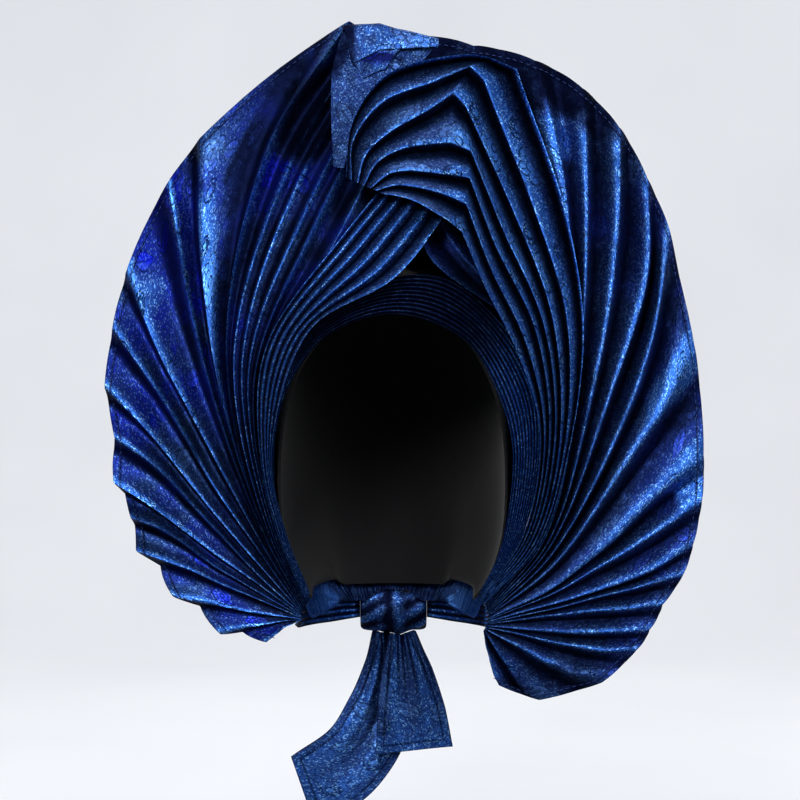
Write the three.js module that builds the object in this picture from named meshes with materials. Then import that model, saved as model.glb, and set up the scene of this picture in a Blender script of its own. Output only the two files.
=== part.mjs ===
// A gele head tie in its worn form: one stiff jacquard cloth pleated into a wide fan round the
// face opening, over a thin knit cap, and tied behind the head.
// Millimetres. X runs to the right as the wearer is faced, -Y is the front and +Z is up.
// The origin is on the crown of the head, where the cap sits.
import * as THREE from "three";

// Driving sizes
const CLOTH = 2;
const KNIT = 1.4;
const GAP = 0.45;

// The head form inside the cap: half sizes about its own centre
const HEAD = { breadth: 71, depth: 97, rise: 112, drop: 122, centreY: 2, round: 2.1, upright: 2.6 };
const HEAD_CENTRE = new THREE.Vector3(0, HEAD.centreY, -HEAD.rise);

// The face opening is an ellipse from the front, and the fan sweeps back from it to its rim
const OPENING = { halfWidth: 71, halfHeight: 93, centreZ: -124, sweep: 1.35 };
const FOREHEAD_Y = -80;
const GATHER_Y = 5;
const RIM_Y = { middle: 15, lean: 20 };
const FAN_SPAN = 1.7;

// Pleats grow deeper away from the point where they are gathered
const PLEAT = { slope: 1.05, nearGather: 0.2, growth: 0.05, deepest: 9 };
const RIM_SHARE = 0.1;
const GATHERS = { left: { x: -55, z: -208 }, right: { x: 57, z: -210 } };

// How deep the pleats of the two front layers are, and how they lie over the band
const CROSS_OVER_BAND = 1.8;
const CROSS_ROOM_SHARE = 0.35;
const SWIRL_ROOM_SHARE = 0.5;
const SWIRL_SEAT = 0.2;
const SWIRL_CLEAR = { left: 40, right: 75 };

// Steps along each kind of wall
const STEPS = {
  fan: 10,
  cross: 13,
  climb: 13,
  turn: 9,
  band: 25,
  panel: 7,
  rollOver: 4,
  flap: 3,
  cap: 9,
  wrap: 9,
  tie: 8,
  tail: 9,
};
const CAP_COLUMNS = 20;

// Materials
const jacquard = finish("#173f96", 0.42, 0.55);
const jacquardDeep = finish("#101f5e", 0.5, 0.45);
const knit = finish("#07070b", 0.9, 0);

function finish(color, roughness, metalness) {
  return new THREE.MeshStandardMaterial({ color, roughness, metalness, side: THREE.DoubleSide });
}

const { clamp, lerp, smoothstep } = THREE.MathUtils;

// Lines that the folds' gathered ends are spread along evenly, as [x, z] points from the front
const GATHERED = {
  leftFan: [[-59.3, -220], [-56.6, -213], [-52.3, -206.4]],
  rightFan: [[57.8, -208.6], [60.1, -218.6], [57, -227]],
  cross: [[-54.6, -205.5], [-51.6, -202]],
  swirlEnd: [[57.4, -208.6], [53.8, -204.4]],
  swirlLow: [[91, -171], [80.2, -165]],
  small: [[-28, 52], [-18.5, 47.2], [-6, 41.5]],
};

// Each row is one fold of the left fan, seen from the front, from the rim to the gather.
// Points are [x, z]. Notch is how far the rim is drawn in after the fold, in the valley.
const LEFT_FOLDS = [
  { rim: [-80, -234], outer: [-75, -230], mid: [-70, -226], inner: [-65, -223], notch: 6 },
  { rim: [-109, -229], outer: [-93, -225], mid: [-83, -223], inner: [-73, -221], notch: 8 },
  { rim: [-139, -205], outer: [-113, -210], mid: [-93, -214], inner: [-77, -216.5], notch: 8 },
  { rim: [-162, -176], outer: [-130, -187], mid: [-103, -199], inner: [-79, -208.5], notch: 3 },
  { rim: [-165, -155], outer: [-144, -163], mid: [-109, -187], inner: [-80, -204.5], notch: 3 },
  { rim: [-176, -133], outer: [-143, -154], mid: [-106, -181], inner: [-80, -200], notch: 5 },
  { rim: [-175, -105], outer: [-147, -124], mid: [-110, -163], inner: [-80, -195], notch: 3 },
  { rim: [-181, -73], outer: [-149, -105], mid: [-111, -152], inner: [-79, -189.5], notch: 5 },
  { rim: [-176, -36], outer: [-145, -78], mid: [-110, -136], inner: [-78, -184] },
  { rim: [-167, -1], outer: [-146, -50], mid: [-113, -112], inner: [-79, -175], notch: -3 },
  { rim: [-140, 55], outer: [-130, 0], mid: [-114, -66], inner: [-82, -160], notch: -1 },
  { rim: [-120, 82], outer: [-119, 15], mid: [-106, -76], inner: [-80, -159], notch: -9 },
  { rim: [-27, 153], outer: [-76, 77], mid: [-102, -48], inner: [-81, -160], notch: 2 },
  { rim: [-12, 152], outer: [-66, 58], mid: [-97, -56], inner: [-78, -161] },
  { rim: [-3, 150], outer: [-61, 46], mid: [-91.5, -60], inner: [-75.5, -162] },
  { rim: [4, 148], outer: [-55, 30], mid: [-87.5, -64], inner: [-73.7, -162.5] },
  { rim: [10, 145], outer: [-50, 18], mid: [-84, -68], inner: [-72.8, -163] },
  { rim: [10.5, 112], outer: [-36, 12], mid: [-79.5, -63], inner: [-72.3, -163.5], stand: 0.3 },
  { rim: [11, 78], outer: [-20, 9], mid: [-73.5, -54], inner: [-71.9, -164], stand: 0.3 },
  { rim: [11.5, 40], outer: [-6, 3], mid: [-66, -44], inner: [-71.5, -164.5], stand: 0.3 },
];

// The right fan, from the folds hidden behind the swirl at the top round to the lowest one
const RIGHT_FOLDS = [
  { rim: [13, 42], outer: [22, 5], mid: [88, -54], inner: [84.5, -160], stand: 0.3 },
  { rim: [12.5, 100], outer: [30, 25], mid: [93.5, -60], inner: [86, -160], stand: 0.3 },
  { rim: [12, 145], outer: [48, 46], mid: [98, -60], inner: [88, -160.5], notch: -2, stand: 0.6 },
  { rim: [50, 139], outer: [78, 55], mid: [102, -58], inner: [90, -161], notch: -2 },
  { rim: [88, 130], outer: [106, 56], mid: [110, -56], inner: [93, -163], notch: -2 },
  { rim: [118, 113], outer: [121, 48], mid: [115, -56], inner: [95.5, -165], notch: -2 },
  { rim: [141, 89], outer: [140, 28], mid: [127, -60], inner: [97.5, -168], notch: -3 },
  { rim: [159, 57], outer: [159, -2], mid: [137, -72], inner: [98.5, -172], notch: -2 },
  { rim: [173, 25], outer: [163, -37], mid: [137, -109], inner: [99, -178] },
  { rim: [189, -46], outer: [171, -83], mid: [138, -133], inner: [99, -186], notch: -2 },
  { rim: [196, -116], outer: [165, -142], mid: [136, -171], inner: [101, -199], notch: 2 },
  { rim: [195, -145], outer: [167, -164], mid: [134, -184], inner: [101, -202.5], notch: 3 },
  { rim: [190, -173], outer: [162, -190], mid: [130, -201], inner: [99, -210], notch: 4 },
  { rim: [184, -192], outer: [157, -199], mid: [128, -206], inner: [97, -213.5], notch: 4 },
  { rim: [171, -211], outer: [146, -213.5], mid: [122, -215], inner: [94, -217.5], notch: 3 },
  { rim: [163, -227], outer: [137, -228.5], mid: [112, -228], inner: [86, -226], notch: 3 },
  { rim: [155, -240], outer: [131, -240], mid: [108, -235.5], inner: [83, -229.5], notch: 5 },
  { rim: [133, -261], outer: [112, -254], mid: [93, -245], inner: [75, -234.5], notch: 4 },
  { rim: [93, -272], outer: [81, -262], mid: [72, -249], inner: [64.5, -237], notch: 5 },
  { rim: [67, -262], outer: [63, -253], mid: [60.5, -244], inner: [58.5, -236] },
];

// Diagonal pleats, from under the swirl down past the temple to the left gather
const CROSS_FOLDS = [
  { top: [-1, 53], upper: [-33, 12], temple: [-76, -51], side: [-80, -118], low: [-70, -166] },
  { top: [5, 52], upper: [-28, 10], temple: [-72, -50], side: [-78.5, -117], low: [-69.2, -165] },
  { top: [12, 50], upper: [-22, 7], temple: [-67, -49], side: [-77, -116], low: [-68.4, -164] },
  { top: [19, 46], upper: [-15, 2], temple: [-62, -47.5], side: [-75.6, -115], low: [-67.6, -163] },
  { top: [27, 41], upper: [-8, -4], temple: [-56.5, -45], side: [-74.3, -114], low: [-66.8, -162] },
  { top: [34, 33], upper: [1, -10], temple: [-49, -41], side: [-73.2, -113], low: [-66, -161] },
];

// Swirl folds climb from the right gather to a corner, and turn across it to the small gather
const SWIRL_CLIMBS = [
  { side: [108, -112], rise: [116, -38], upper: [105, 35], corner: [76, 122] },
  { side: [104.8, -110], rise: [105.5, -32], upper: [87, 32], corner: [56, 114] },
  { side: [101.6, -108], rise: [96.5, -33], upper: [74, 30], corner: [44, 97] },
  { side: [98.4, -106], rise: [91, -36], upper: [66, 22], corner: [47, 69] },
  { side: [95.2, -104], rise: [85.6, -39], upper: [61, 12], corner: [46, 52] },
  { side: [92, -102], rise: [80.2, -48], upper: [58, -2], corner: [44, 36] },
  { side: [88.8, -100], rise: [74.6, -54], upper: [54, -14], corner: [41, 18] },
];
const SWIRL_TURNS = [
  { over: [46, 129], turn: [-3, 117], fall: [-24, 88] },
  { over: [25, 112], turn: [-6, 99], fall: [-24, 74] },
  { over: [22, 95], turn: [-2, 80], fall: [-16, 66] },
  { over: [25, 73], turn: [6, 69.5], fall: [-9, 61] },
  { over: [28, 54], turn: [12, 55.5], fall: [-1, 54] },
  { over: [29, 42], turn: [14, 45.5], fall: [2, 46.5] },
  { over: [28, 28], turn: [16, 35], fall: [6, 39] },
];

// Sections of the band of fine pleats, round the opening from the left gather to the right one
const BAND_SECTIONS = [
  { inner: [-71.6, -150], outer: [-73.4, -150] },
  { inner: [-72.3, -128], outer: [-75, -127] },
  { inner: [-71, -104], outer: [-76, -100] },
  { inner: [-62.5, -74], outer: [-69, -62] },
  { inner: [-45, -49], outer: [-52, -36] },
  { inner: [-24, -36], outer: [-28, -19] },
  { inner: [0, -31], outer: [3, -8] },
  { inner: [22, -35], outer: [33, -10] },
  { inner: [45, -48], outer: [67, -38] },
  { inner: [62, -75], outer: [87, -72] },
  { inner: [72, -106], outer: [90.8, -104] },
  { inner: [72.5, -136], outer: [87.4, -140] },
  { inner: [66, -176], outer: [74.4, -180] },
  { inner: [54, -202], outer: [56.5, -203] },
];
const BAND = { pleats: 5, room: 1.2, roomShare: 0.25, lift: 3.4, liftShare: 0.8, thickness: 1.6 };

// The flat panel behind the swirl, from its turned-over top edge down to its tip
const PANEL_SECTIONS = [
  { left: [-31, 147], middle: [-8, 148], right: [28, 139] },
  { left: [-37, 124], middle: [-18, 124], right: [14, 124] },
  { left: [-38, 97], middle: [-31, 96], right: [-20, 97] },
  { left: [-36, 61], middle: [-32.5, 60], right: [-29.5, 60] },
];
const PANEL = { columns: 6, clear: 0.3 };
const FLAP = { reach: 20, radius: 2.2 };

// Front edges over the head: the knit cap's, and the cloth's that covers the crown and back
const CAP_EDGE = [
  { x: -50, y: 22, z: -210 },
  { x: -60, y: 6, z: -186 },
  { x: -67, y: -16, z: -148 },
  { x: -68, y: -31, z: -108 },
  { x: -60, y: -49, z: -75 },
  { x: -44, y: -63, z: -49 },
  { x: -24, y: -72, z: -36 },
  { x: 0, y: -75, z: -31 },
  { x: 22, y: -72, z: -35 },
  { x: 43, y: -63, z: -48 },
  { x: 59, y: -49, z: -75 },
  { x: 68, y: -31, z: -108 },
  { x: 67, y: -16, z: -148 },
  { x: 60, y: 6, z: -186 },
  { x: 49, y: 22, z: -214 },
];
// Half of the cloth's front edge, where it meets the back of the fan
const WRAP_EDGE = [
  { x: 60, z: -200 },
  { x: 70, z: -176 },
  { x: 77, z: -146 },
  { x: 81, z: -106 },
  { x: 79, z: -62 },
  { x: 65, z: -14 },
  { x: 36, z: 22 },
  { x: 0, z: 36 },
];
// Halves of the arches that both walls follow over the crown and down the back
const CROWN_ARCH = [
  { x: 52, y: 40, z: -203 },
  { x: 65, y: 32, z: -168 },
  { x: 72, y: 26, z: -112 },
  { x: 60, y: 24, z: -44 },
  { x: 31, y: 22, z: -9 },
  { x: 0, y: 21, z: 0 },
];
const REAR_ARCH = [
  { x: 44, y: 62, z: -203 },
  { x: 52, y: 70, z: -168 },
  { x: 52, y: 80, z: -118 },
  { x: 38, y: 86, z: -78 },
  { x: 19, y: 88, z: -58 },
  { x: 0, y: 89, z: -52 },
];
const NAPE = { halfWidth: 34, y: 80, round: 6, capZ: -203, wrapZ: -200 };
const WRAP = { clear: 1.1, gathers: 7, gatherDeep: 2.6, gatheredFrom: 0.7, settled: 0.45 };

// The ties run round the neck from the gathers to the knot; x and y are for the right side
const TIE_PATH = [
  { x: 56.5, y: 12.6, height: 12 },
  { x: 60, y: 32, height: 18 },
  { x: 55, y: 57, height: 21 },
  { x: 41, y: 77, height: 21 },
  { x: 22.4, y: 92, height: 18 },
];
const TIE = { z: -218, below: 7, ridges: 3, ridgeDeep: 1.6 };

// Their ends hang from the knot
const KNOT = { x: 0, y: 94, z: -221, halfWidth: 22, halfHeight: 16, halfDepth: 11, ends: 0.5 };
const KNOT_TURN = { swell: 0.14, width: 0.35 };
const KNOT_STEPS = { along: 9, around: 18 };
const TAIL = { columns: 6, gatherDeep: 2.4, cup: 5 };
const TAIL_LEFT = [
  { x: -5, y: 97, z: -238.8, width: 18, turn: 4 },
  { x: -3, y: 100, z: -262, width: 34, turn: 10 },
  { x: -9, y: 98, z: -292, width: 46, turn: 28 },
  { x: -27, y: 92, z: -322, width: 51, turn: 55 },
  { x: -60, y: 84, z: -344, width: 52, turn: 71 },
];
const TAIL_RIGHT = [
  { x: 6, y: 91, z: -238.8, width: 18, turn: -4 },
  { x: 9, y: 90, z: -262, width: 34, turn: -5 },
  { x: 12, y: 89, z: -290, width: 46, turn: -6 },
  { x: 14, y: 88, z: -316, width: 52, turn: -6 },
];

// Depth of the fan cloth at a point seen from the front
function dishY(x, z) {
  const across = x / OPENING.halfWidth;
  const up = (z - OPENING.centreZ) / OPENING.halfHeight;
  const reach = Math.max(Math.hypot(across, up), 1e-6);
  const height = up / reach;
  const fall = (1 - height) / 2;
  const edge = lerp(FOREHEAD_Y, GATHER_Y, 1 - (1 - fall) ** OPENING.sweep);
  const rim = RIM_Y.middle - RIM_Y.lean * height;
  const out = clamp((reach - 1) / FAN_SPAN, 0, 1);
  return lerp(edge, rim, 1 - (1 - out) ** 1.5);
}

// The most that a pleat may stand out at a point
function pleatRoom(x, z) {
  const nearest = Math.min(
    Math.hypot(x - GATHERS.left.x, z - GATHERS.left.z),
    Math.hypot(x - GATHERS.right.x, z - GATHERS.right.z),
  );
  return Math.min(PLEAT.deepest, PLEAT.nearGather + PLEAT.growth * nearest);
}

// A smooth path through [x, z] points, read at a share of its length
function pathThrough(points) {
  const corners = points.map(([x, z]) => new THREE.Vector3(x, 0, z));
  const curve = new THREE.CatmullRomCurve3(corners, false, "centripetal");
  return (share) => curve.getPointAt(clamp(share, 0, 1));
}

// Points spread evenly along a line
function spread(points, count) {
  const path = pathThrough(points);
  return Array.from({ length: count }, (_, i) => {
    const point = path(i / (count - 1));
    return [point.x, point.z];
  });
}

// One closed wall from a front grid and a back grid of the same size
function wallFromGrids(front, back) {
  const rows = front.length;
  const columns = front[0].length;
  const positions = [];
  for (const grid of [front, back]) {
    for (const row of grid) {
      for (const p of row) positions.push(p.x, p.y, p.z);
    }
  }
  const at = (side, row, column) => (side * rows + row) * columns + column;
  const faces = [];
  const quad = (a, b, c, d) => faces.push(a, b, c, a, c, d);
  for (let r = 0; r + 1 < rows; r += 1) {
    for (let c = 0; c + 1 < columns; c += 1) {
      quad(at(0, r, c), at(0, r, c + 1), at(0, r + 1, c + 1), at(0, r + 1, c));
      quad(at(1, r, c), at(1, r + 1, c), at(1, r + 1, c + 1), at(1, r, c + 1));
    }
  }
  for (let c = 0; c + 1 < columns; c += 1) {
    quad(at(0, 0, c + 1), at(0, 0, c), at(1, 0, c), at(1, 0, c + 1));
    const last = rows - 1;
    quad(at(0, last, c), at(0, last, c + 1), at(1, last, c + 1), at(1, last, c));
  }
  for (let r = 0; r + 1 < rows; r += 1) {
    quad(at(0, r, 0), at(0, r + 1, 0), at(1, r + 1, 0), at(1, r, 0));
    const last = columns - 1;
    quad(at(0, r + 1, last), at(0, r, last), at(1, r, last), at(1, r + 1, last));
  }
  return closedGeometry(positions, faces);
}

// Faces are turned the other way where they enclose a negative volume
function closedGeometry(positions, faces) {
  const corner = (i) => new THREE.Vector3().fromArray(positions, 3 * i);
  let volume = 0;
  for (let f = 0; f < faces.length; f += 3) {
    const across = corner(faces[f + 1]).cross(corner(faces[f + 2]));
    volume += corner(faces[f]).dot(across);
  }
  const ordered = volume > 0 ? faces : faces.slice().reverse();
  const geometry = new THREE.BufferGeometry();
  geometry.setAttribute("position", new THREE.Float32BufferAttribute(positions, 3));
  geometry.setIndex(ordered);
  geometry.computeVertexNormals();
  return geometry;
}

// A pleated wall: ridges follow the paths, a valley lies between each pair, and level gives the
// depth of the cloth's middle. Notches draw the rim in at the valleys.
function pleatedWall(paths, steps, level, options = {}) {
  const { notches = [], stands = [], room = pleatRoom, thickness = CLOTH } = options;
  const front = [];
  for (let step = 0; step <= steps; step += 1) {
    const share = step / steps;
    const ridges = paths.map((path) => path(share));
    const row = [];
    ridges.forEach((ridge, i) => {
      const previous = ridges[Math.max(i - 1, 0)];
      const next = ridges[Math.min(i + 1, ridges.length - 1)];
      const spacing = previous.distanceTo(next) / (i > 0 && i + 1 < ridges.length ? 2 : 1);
      const stand = stands[i] ?? 1;
      const height = stand * Math.min((spacing * PLEAT.slope) / 4, room(ridge.x, ridge.z));
      row.push(new THREE.Vector3(ridge.x, level(ridge.x, ridge.z) - height, ridge.z));
      if (i + 1 === ridges.length) return;
      const valley = ridge.clone().add(next).multiplyScalar(0.5);
      const inward = paths[i](RIM_SHARE).add(paths[i + 1](RIM_SHARE));
      inward.sub(paths[i](0)).sub(paths[i + 1](0)).normalize();
      valley.addScaledVector(inward, (notches[i] ?? 0) * (1 - share) ** 3);
      const drop = (ridge.distanceTo(next) * PLEAT.slope) / 4;
      const depth = stand * Math.min(drop, room(valley.x, valley.z));
      row.push(new THREE.Vector3(valley.x, level(valley.x, valley.z) + depth, valley.z));
    });
    front.push(row);
  }
  const back = front.map((row) => row.map((p) => p.clone().setY(p.y + thickness)));
  return wallFromGrids(front, back);
}

// How far in front of the fan each layer of cloth lies
const layerStep = (x, z, share) => pleatRoom(x, z) * (1 + share) + CLOTH + GAP;

function crossLevel(x, z) {
  return dishY(x, z) - layerStep(x, z, CROSS_ROOM_SHARE) - CROSS_OVER_BAND;
}

function swirlLevel(x, z) {
  const overCross = smoothstep(-x, -SWIRL_CLEAR.right, -SWIRL_CLEAR.left);
  const crossDepth = 2 * CROSS_ROOM_SHARE * pleatRoom(x, z) + CLOTH + GAP + CROSS_OVER_BAND;
  const own = layerStep(x, z, SWIRL_ROOM_SHARE) - SWIRL_SEAT;
  return dishY(x, z) - own - overCross * crossDepth;
}
function rimShape(folds) {
  return { notches: folds.map((f) => f.notch), stands: folds.map((f) => f.stand) };
}

function fan(folds, gatherLine) {
  const ends = spread(gatherLine, folds.length);
  const paths = folds.map((f, i) => pathThrough([f.rim, f.outer, f.mid, f.inner, ends[i]]));
  return pleatedWall(paths, STEPS.fan, dishY, rimShape(folds));
}

function crossPleats() {
  const ends = spread(GATHERED.cross, CROSS_FOLDS.length);
  const paths = CROSS_FOLDS.map(
    (f, i) => pathThrough([f.top, f.upper, f.temple, f.side, f.low, ends[i]]),
  );
  const room = (x, z) => CROSS_ROOM_SHARE * pleatRoom(x, z);
  return pleatedWall(paths, STEPS.cross, crossLevel, { room });
}

function swirlFolds() {
  const count = SWIRL_CLIMBS.length;
  const starts = spread(GATHERED.swirlEnd, count);
  const lows = spread(GATHERED.swirlLow, count);
  const ends = spread(GATHERED.small, count);
  const paths = SWIRL_CLIMBS.map((c, i) => {
    const climb = pathThrough([starts[i], lows[i], c.side, c.rise, c.upper, c.corner]);
    const t = SWIRL_TURNS[i];
    const across = pathThrough([c.corner, t.over, t.turn, t.fall, ends[i]]);
    return (share) => {
      const step = share * (STEPS.climb + STEPS.turn);
      if (step <= STEPS.climb) return climb(step / STEPS.climb);
      return across((step - STEPS.climb) / STEPS.turn);
    };
  });
  const room = (x, z) => SWIRL_ROOM_SHARE * pleatRoom(x, z);
  return pleatedWall(paths, STEPS.climb + STEPS.turn, swirlLevel, { room });
}

// The band's pleats run along it, so its paths are spread between its two edges
function foreheadBand() {
  const inner = pathThrough(BAND_SECTIONS.map((s) => s.inner));
  const outer = pathThrough(BAND_SECTIONS.map((s) => s.outer));
  const paths = [];
  for (let i = 0; i <= BAND.pleats; i += 1) {
    paths.push((share) => inner(share).lerp(outer(share), i / BAND.pleats));
  }
  const room = (x, z) => Math.min(BAND.room, BAND.roomShare * pleatRoom(x, z));
  const level = (x, z) => dishY(x, z) - Math.min(BAND.lift, BAND.liftShare * pleatRoom(x, z));
  return pleatedWall(paths, STEPS.band, level, { room, thickness: BAND.thickness });
}

// A flat sheet that climbs behind the swirl, then rolls over at the top and hangs as a flap
function topPanel() {
  const left = pathThrough(PANEL_SECTIONS.map((s) => s.left));
  const middle = pathThrough(PANEL_SECTIONS.map((s) => s.middle));
  const right = pathThrough(PANEL_SECTIONS.map((s) => s.right));
  const edge = (share, across) => {
    if (across < 0.5) return left(share).lerp(middle(share), 2 * across);
    return middle(share).lerp(right(share), 2 * across - 1);
  };
  const outer = [];
  const inner = [];
  const addRow = (share, standFront, standUp, turn) => {
    const facing = new THREE.Vector3(0, Math.cos(turn), Math.sin(turn)).multiplyScalar(CLOTH / 2);
    const rows = [[], []];
    for (let i = 0; i <= PANEL.columns; i += 1) {
      const p = edge(share, i / PANEL.columns);
      p.y = dishY(p.x, p.z) - pleatRoom(p.x, p.z) - CLOTH / 2 - GAP - PANEL.clear - standFront;
      p.z += standUp;
      rows[0].push(p.clone().add(facing));
      rows[1].push(p.clone().sub(facing));
    }
    outer.push(rows[0]);
    inner.push(rows[1]);
  };
  for (let step = STEPS.panel; step > 0; step -= 1) addRow(step / STEPS.panel, 0, 0, 0);
  for (let step = 0; step <= STEPS.rollOver; step += 1) {
    const turn = (Math.PI * step) / STEPS.rollOver;
    addRow(0, FLAP.radius * (1 - Math.cos(turn)), FLAP.radius * Math.sin(turn), turn);
  }
  for (let step = 1; step <= STEPS.flap; step += 1) {
    addRow(0, 2 * FLAP.radius, (-FLAP.reach * step) / STEPS.flap, Math.PI);
  }
  return wallFromGrids(outer, inner);
}

// Distance from the head's centre to the head form, along a direction
function headReach(direction) {
  const half = direction.z > 0 ? HEAD.rise : HEAD.drop;
  const level = Math.abs(direction.x / HEAD.breadth) ** HEAD.round
    + Math.abs(direction.y / HEAD.depth) ** HEAD.round;
  const sum = level ** (HEAD.upright / HEAD.round) + Math.abs(direction.z / half) ** HEAD.upright;
  return sum ** (-1 / HEAD.upright);
}

// An arch over the head from its right half, given from the bottom to the top
function mirroredArch(half) {
  const left = half.map((e) => new THREE.Vector3(-e.x, e.y, e.z));
  const right = half.slice(0, -1).reverse().map((e) => new THREE.Vector3(e.x, e.y, e.z));
  return left.concat(right);
}

// A wall that follows the head from a front edge, over the crown arches, down to the nape
function headWall(edge, napeZ, { steps, columns }, rise, thickness) {
  const nape = [-1, -0.5, 0, 0.5, 1].map(
    (side) => new THREE.Vector3(NAPE.halfWidth * side, NAPE.y - NAPE.round * side ** 2, napeZ),
  );
  const sections = [edge, mirroredArch(CROWN_ARCH), mirroredArch(REAR_ARCH), nape];
  const arches = sections.map((points) => new THREE.CatmullRomCurve3(points, false, "centripetal"));
  const grids = [[], []];
  for (let step = 0; step <= steps; step += 1) {
    const back = step / steps;
    const rows = [[], []];
    for (let i = 0; i <= columns; i += 1) {
      const round = i / columns;
      const meridian = new THREE.CatmullRomCurve3(arches.map((arch) => arch.getPoint(round)));
      const direction = meridian.getPoint(back).sub(HEAD_CENTRE).normalize();
      const reach = headReach(direction) + rise(round, back);
      rows[0].push(direction.clone().multiplyScalar(reach + thickness).add(HEAD_CENTRE));
      rows[1].push(direction.clone().multiplyScalar(reach).add(HEAD_CENTRE));
    }
    grids[0].push(rows[0]);
    grids[1].push(rows[1]);
  }
  return wallFromGrids(grids[0], grids[1]);
}

function innerCap() {
  const edge = CAP_EDGE.map((e) => new THREE.Vector3(e.x, e.y, e.z));
  return headWall(edge, NAPE.capZ, { steps: STEPS.cap, columns: CAP_COLUMNS }, () => 0, KNIT);
}

// The cloth comes down from the back of the fan over the crown, and is gathered at the nape
function backWrap() {
  const behindFan = (x, z) => dishY(x, z) + pleatRoom(x, z) + CLOTH + 3 * GAP;
  const edge = mirroredArch(WRAP_EDGE.map(({ x, z }) => ({ x, y: behindFan(x, z), z })));
  const arch = new THREE.CatmullRomCurve3(edge, false, "centripetal");
  const rise = (round, back) => {
    const start = arch.getPoint(round).sub(HEAD_CENTRE);
    const clear = KNIT + WRAP.clear;
    const stand = start.length() - headReach(start.normalize()) - clear;
    const wave = (1 + Math.cos(2 * Math.PI * WRAP.gathers * round)) / 2;
    const fold = WRAP.gatherDeep * wave * smoothstep(back, 0, WRAP.gatheredFrom);
    return clear + stand * (1 - smoothstep(back, 0, WRAP.settled)) + fold;
  };
  const grid = { steps: STEPS.wrap, columns: 4 * WRAP.gathers };
  return headWall(edge, NAPE.wrapZ, grid, rise, CLOTH);
}

// A strip of gathered cloth round one side of the neck; side is -1 for left, 1 for right
function tie(side, gather) {
  const centres = new THREE.CatmullRomCurve3(
    TIE_PATH.map((s) => new THREE.Vector3(side * s.x, s.y, TIE.z)),
  );
  centres.points[0].z = gather.z - TIE.below;
  const heights = new THREE.CatmullRomCurve3(TIE_PATH.map((s) => new THREE.Vector3(s.height, 0, 0)));
  const steps = STEPS.tie;
  const columns = 2 * TIE.ridges;
  const inner = [];
  const outer = [];
  for (let step = 0; step <= steps; step += 1) {
    const share = step / steps;
    const along = centres.getTangent(share);
    const outward = new THREE.Vector3(side * along.y, -side * along.x, 0).normalize();
    const rowInner = [];
    const rowOuter = [];
    for (let i = 0; i <= columns; i += 1) {
      const p = centres.getPoint(share);
      p.z += heights.getPoint(share).x * (i / columns - 0.5);
      p.addScaledVector(outward, i % 2 === 0 ? 0 : TIE.ridgeDeep);
      rowInner.push(p);
      rowOuter.push(p.clone().addScaledVector(outward, CLOTH));
    }
    inner.push(rowInner);
    outer.push(rowOuter);
  }
  return wallFromGrids(outer, inner);
}

// The knot is cloth wound over itself: a rounded form with a turn over its middle
function backKnot() {
  const { along, around } = KNOT_STEPS;
  const positions = [KNOT.x - KNOT.halfWidth, KNOT.y, KNOT.z];
  for (let a = 1; a < along; a += 1) {
    const across = -Math.cos((Math.PI * a) / along);
    const turn = 1 + KNOT_TURN.swell * Math.exp(-((across / KNOT_TURN.width) ** 2));
    const swell = turn * Math.sin((Math.PI * a) / along) ** KNOT.ends;
    for (let i = 0; i < around; i += 1) {
      const angle = (2 * Math.PI * i) / around;
      positions.push(
        KNOT.x + KNOT.halfWidth * across,
        KNOT.y + KNOT.halfDepth * swell * Math.cos(angle),
        KNOT.z + KNOT.halfHeight * swell * Math.sin(angle),
      );
    }
  }
  positions.push(KNOT.x + KNOT.halfWidth, KNOT.y, KNOT.z);
  const tip = positions.length / 3 - 1;
  const at = (a, i) => 1 + (a - 1) * around + (i % around);
  const faces = [];
  for (let i = 0; i < around; i += 1) {
    faces.push(0, at(1, i + 1), at(1, i));
    for (let a = 1; a + 1 < along; a += 1) {
      faces.push(at(a, i), at(a, i + 1), at(a + 1, i));
      faces.push(at(a, i + 1), at(a + 1, i + 1), at(a + 1, i));
    }
    faces.push(at(along - 1, i), at(along - 1, i + 1), tip);
  }
  return closedGeometry(positions, faces);
}

// A tail follows its sections down from the knot; turn tilts each section in the view from behind
function tail(sections) {
  const centres = new THREE.CatmullRomCurve3(
    sections.map((s) => new THREE.Vector3(s.x, s.y, s.z)), false, "centripetal",
  );
  const sizes = new THREE.CatmullRomCurve3(
    sections.map((s) => new THREE.Vector3(s.width, s.turn, 0)), false, "centripetal",
  );
  const steps = STEPS.tail;
  const { columns } = TAIL;
  const front = [];
  const back = [];
  for (let step = 0; step <= steps; step += 1) {
    const share = step / steps;
    const centre = centres.getPoint(share);
    const size = sizes.getPoint(share);
    const angle = THREE.MathUtils.degToRad(size.y);
    const across = new THREE.Vector3(Math.cos(angle), 0, -Math.sin(angle));
    const rowFront = [];
    const rowBack = [];
    for (let i = 0; i <= columns; i += 1) {
      const offset = i / columns - 0.5;
      const p = centre.clone().addScaledVector(across, offset * size.x);
      const gather = TAIL.gatherDeep * (1 - share) * Math.cos(4 * Math.PI * offset);
      p.y += gather - TAIL.cup * offset ** 2;
      rowFront.push(p);
      rowBack.push(p.clone().setY(p.y + CLOTH));
    }
    front.push(rowFront);
    back.push(rowBack);
  }
  return wallFromGrids(front, back);
}

// The head tie, piece by piece
const headTie = new THREE.Group();

function add(name, geometry, material) {
  const mesh = new THREE.Mesh(geometry, material);
  mesh.name = name;
  headTie.add(mesh);
}

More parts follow.
